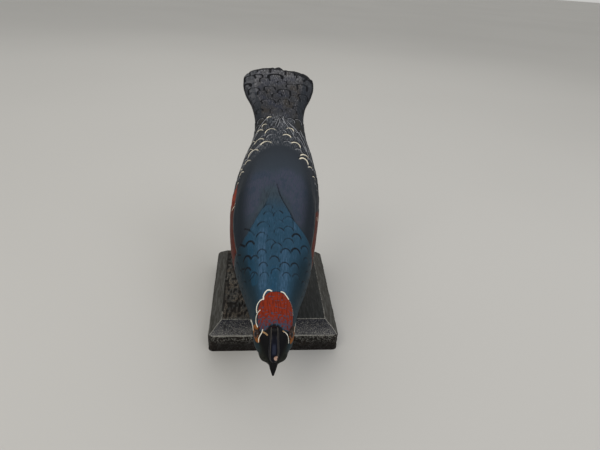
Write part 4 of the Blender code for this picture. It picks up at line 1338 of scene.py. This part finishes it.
def makePlinth():
    sideRings, bevelRings = plinth["sideRings"], plinth["bevelRings"]
    rim = sideRings + bevelRings
    across, deep = plinth["topCells"][0] + 2 * rim, plinth["topCells"][1] + 2 * rim
    startModelling()
    bpy.ops.mesh.primitive_grid_add(x_subdivisions=across, y_subdivisions=deep, size=2.0, location=(0, 0, 0))
    piece = newPiece("plinthBlock")
    places = readVertices(piece)
    i = np.rint((places[:, 0] + 1) / 2 * across).astype(int)
    j = np.rint((places[:, 1] + 1) / 2 * deep).astype(int)
    ring = np.minimum(np.minimum(i, across - i), np.minimum(j, deep - j))
    level = np.minimum(ring, rim)
    height = np.interp(level, (0, sideRings, rim), (0, plinth["side"], plinth["side"] + plinth["bevelRise"]))
    inset = np.interp(level, (sideRings, rim), (0, plinth["bevelRun"]))
    halfX, halfY = plinth["width"] / 2 - inset, plinth["depth"] / 2 - inset
    x = -halfX + 2 * halfX * (i - level) / (across - 2 * level)
    y = -halfY + 2 * halfY * (j - level) / (deep - 2 * level)
    # the outward way of each face, softened over the arrises
    onSide = ring < rim
    sideways = np.where(onSide, np.sign(x) * (halfX - np.abs(x) < 0.01), 0.0)
    endways = np.where(onSide, np.sign(y) * (halfY - np.abs(y) < 0.01), 0.0)
    front = onSide & (y < 0) & (halfY - np.abs(y) < 0.01)
    # distances to the arrises: foot and brow of the bevel, and the corners
    slope = math.hypot(plinth["bevelRun"], plinth["bevelRise"]) / plinth["bevelRise"]
    corner = np.where(onSide, np.maximum(halfX - np.abs(x), halfY - np.abs(y)), 99.0)
    foot = np.where(level <= sideRings, plinth["side"] - height, (height - plinth["side"]) * slope)
    topEdge = np.minimum(*(plinth[key] / 2 - plinth["bevelRun"] - np.abs(value)
                           for key, value in (("width", x), ("depth", y))))
    brow = np.where(onSide, (plinth["side"] + plinth["bevelRise"] - height) * slope, topEdge)
    arris = np.minimum(np.minimum(foot, brow), corner)
    # round the upright corners, less and less up the bevel
    radius = plinth["cornerRadius"] * np.interp(height, (0, plinth["side"], plinth["side"] + 5), (1, 1, 0.02))
    pastX, pastY = np.abs(x) - (halfX - radius), np.abs(y) - (halfY - radius)
    rounds = onSide & (pastX > 0) & (pastY > 0)
    reach = np.maximum(np.hypot(pastX, pastY), 1e-6)
    x = np.where(rounds, np.sign(x) * (halfX - radius + pastX / reach * radius), x)
    y = np.where(rounds, np.sign(y) * (halfY - radius + pastY / reach * radius), y)
    points = np.stack([x, y, height], -1)
    upward = np.interp(level, (0, sideRings - 1, sideRings, sideRings + 1, rim - 1, rim, rim + 1),
                       (0, 0, 0.5, 1, 1, 1.4, 1.4))
    away = np.stack([sideways, endways, np.where(ring > rim, 1.0, upward)], -1)
    away = away / np.maximum(np.linalg.norm(away, axis=1, keepdims=True), 1e-6)
    flatTop = ring >= rim
    bevel = ease(height, plinth["side"] - 0.3, plinth["side"] + 0.5) * (~flatTop)
    # the carver's surface: long ripples of grain, stamped pits and, on the left of the top, deep gouges
    ripple = softNoise(points * (1.0, 0.16, 1.0), 1.6, 31) * plinth["grain"]
    lumps = softNoise(points, 9.0, 32) * plinth["lumps"]
    stamped = np.maximum(softNoise(points, 1.7, 33), 0) + 0.6 * np.maximum(softNoise(points, 1.1, 34), 0)
    pits = plinth["pits"] * stamped * np.where(flatTop, 0.25, np.where((bevel > 0.5) & ~front, 0.25, 1.0))
    leftStrip = flatTop * ease(-x, *plinth["leftStrip"])
    gouge = np.maximum(softNoise(points * (1.0, 0.36, 1.0) + (0, 0, 40), 1.25, 35) + 0.10, 0)
    gouges = plinth["gouges"] * gouge * leftStrip
    worn, varied = plinth["wear"]
    wear = np.exp(-(arris / 1.0) ** 2) * (worn + varied * softNoise(points, 4.0, 36))
    lift = ripple + lumps - pits - gouges - plinth["lowered"] - wear
    lift = np.minimum(lift, 0.10) * ease(height, 0.0, 1.2)
    halfWide, halfDeep, forward = plinth["feet"]
    underFeet = (np.abs(x) < halfWide) & (np.abs(y + forward) < halfDeep) & flatTop
    lift = np.where(underFeet, np.clip(lift, -0.2, 0.05), lift)
    fresh = (points + away * lift[:, None]) * mm
    piece.data.vertices.foreach_set("co", fresh.ravel())
    # how much silver the dry brush left: most on the front arris, least on the left and the back
    atFront = ease(-y, 30, 62)
    browFront, browRight, browRest = plinth["browSilver"]
    browShare = np.where(atFront > 0.5, browFront, np.where(x > 0, browRight, browRest))
    footAll, footFront = plinth["footSilver"]
    footShare = (footAll + footFront * atFront) * (1 - 0.25 * ease(x, 15, 45))
    footShare = footShare * (0.3 + 0.7 * ease(corner, 1.5, 5.0))
    fromFoot = height - plinth["side"]
    cornerAll, cornerFront = plinth["cornerSilver"]
    cornerShare = cornerAll + cornerFront * atFront * (fromFoot > 0)
    frontShare, frontFade = plinth["frontSilver"]
    silver = frontShare * front * np.exp(-np.abs(fromFoot) / frontFade)
    for share, gap, width in zip((browShare, footShare, cornerShare), (brow, foot, corner),
                                 plinth["arrisWidths"]):
        silver = np.maximum(silver, share * np.exp(-(gap / width) ** 2))
    values = {"silver": silver, "lift": lift, "flatTop": flatTop.astype(float), "leftStrip": leftStrip,
              "bevel": bevel, "frontBevel": bevel * front, "low": (~flatTop) * (1 - height / plinth["side"]),
              "frontFoot": front * np.exp(-(fromFoot / np.where(bevel > 0.5, *plinth["frontReach"])) ** 2)}
    addAttributes(piece, values)
    # the flat underside, with a rim of small faces round it
    bpy.ops.object.mode_set(mode="EDIT")
    bpy.ops.mesh.select_all(action="SELECT")
    bpy.ops.mesh.region_to_loop()
    bpy.ops.mesh.edge_face_add()
    bpy.ops.mesh.inset(thickness=2 * mm)
    bpy.ops.object.mode_set(mode="OBJECT")
    faceOutward()
    bpy.ops.object.shade_smooth_by_angle(angle=math.radians(40))
    return piece, list(values)


def paintPlinth(piece, attributes):
    # pine block, blackened with charcoal stain and dry-brushed: dull, dark in the cuts, silver on the arrises
    material, tree = newMaterial("charcoal stained pine, dry-brushed", Metallic=0.0, IOR=1.42,
                                 Specular_IOR_Level=0.2)
    place = addNode(tree, "TexCoord", output="Object")
    reads = makeReads(tree, attributes, {
        "grain": (place, (550, 90, 550), 4.0, 0.65),
        "grit": (place, (750, 750, 750), 3.0, 0.65),
        "fine": (place, (1500, 1100, 1500), 2.0, 0.65),
        "cells": (place, (380, 380, 380), 1.0, 0.65),
        "cloud": (place, (70, 70, 70), 2.0, 0.65)})
    reads["brushed"] = addNode(tree, "Math", {0: reads["fine"], 1: 1.6, 2: reads["silver"]},
                               operation="MULTIPLY_ADD")
    reads["raised"] = addNode(tree, "Math", {0: reads["grit"], 1: 0.5, 2: reads["lift"]},
                              operation="MULTIPLY_ADD")
    bark = paintCoats(tree, plinth, reads, "bark", [
        ("topGrain", ("raised", -0.35, 0.0)),
        ("barkBrown", ("cloud", 0.42, 0.6, 0.7)),
        ("barkTan", ("raised", -0.1, 0.2), ("fine", 0.46, 0.60, 0.75))])
    paint = paintCoats(tree, plinth, reads, "stain", [
        ("stainBrown", ("cloud", 0.4, 0.7), ("grain", 0.4, 0.6)),
        # painted shade: the upright sides darken towards the floor
        ("shadeNearFloor", ("low", 0.5, 1.0, 0.75)),
        ("silverDull", ("cells", 0.42, 0.56, 0.2), ("fine", 0.47, 0.58)),
        ("silver", ("frontFoot", 0.1, 0.9, 0.6), ("cells", 0.42, 0.54), ("fine", 0.48, 0.60)),
        ("sideBevel", ("bevel", 0.3, 0.7)),
        ("sideBevelGrain", ("bevel", 0.3, 0.7), ("grain", 0.4, 0.66)),
        ("frontBevel", ("frontBevel", 0.3, 0.7)),
        ("stain", ("frontBevel", 0.3, 0.7), ("grit", 0.52, 0.40, 0.4)),
        ("silverDull", ("frontBevel", 0.3, 0.7), ("frontFoot", 0.2, 1.0, 0.32)),
        ("silver", ("frontBevel", 0.3, 0.7), ("frontFoot", -0.8, 1.0, 0.8), ("fine", 0.52, 0.63)),
        ("topStain", ("flatTop", 0.3, 0.7)),
        ("topGrain", ("flatTop", 0.3, 0.7), ("grain", 0.42, 0.66)),
        (bark, ("leftStrip", 0.2, 0.8)),
        ("stain", ("lift", -0.30, -0.60, 0.8)),
        ("silver", ("brushed", 1.15, 1.65, 0.9))])
    finishMaterial(material, [piece], paint, (reads["grain"], 0.6, 0.85), (reads["grit"], 0.5, 0.0004))


plinthBlock, plinthValues = makePlinth()
paintPlinth(plinthBlock, plinthValues)
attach(plinthBlock, "root")
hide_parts("plinth")
print("plinth made")
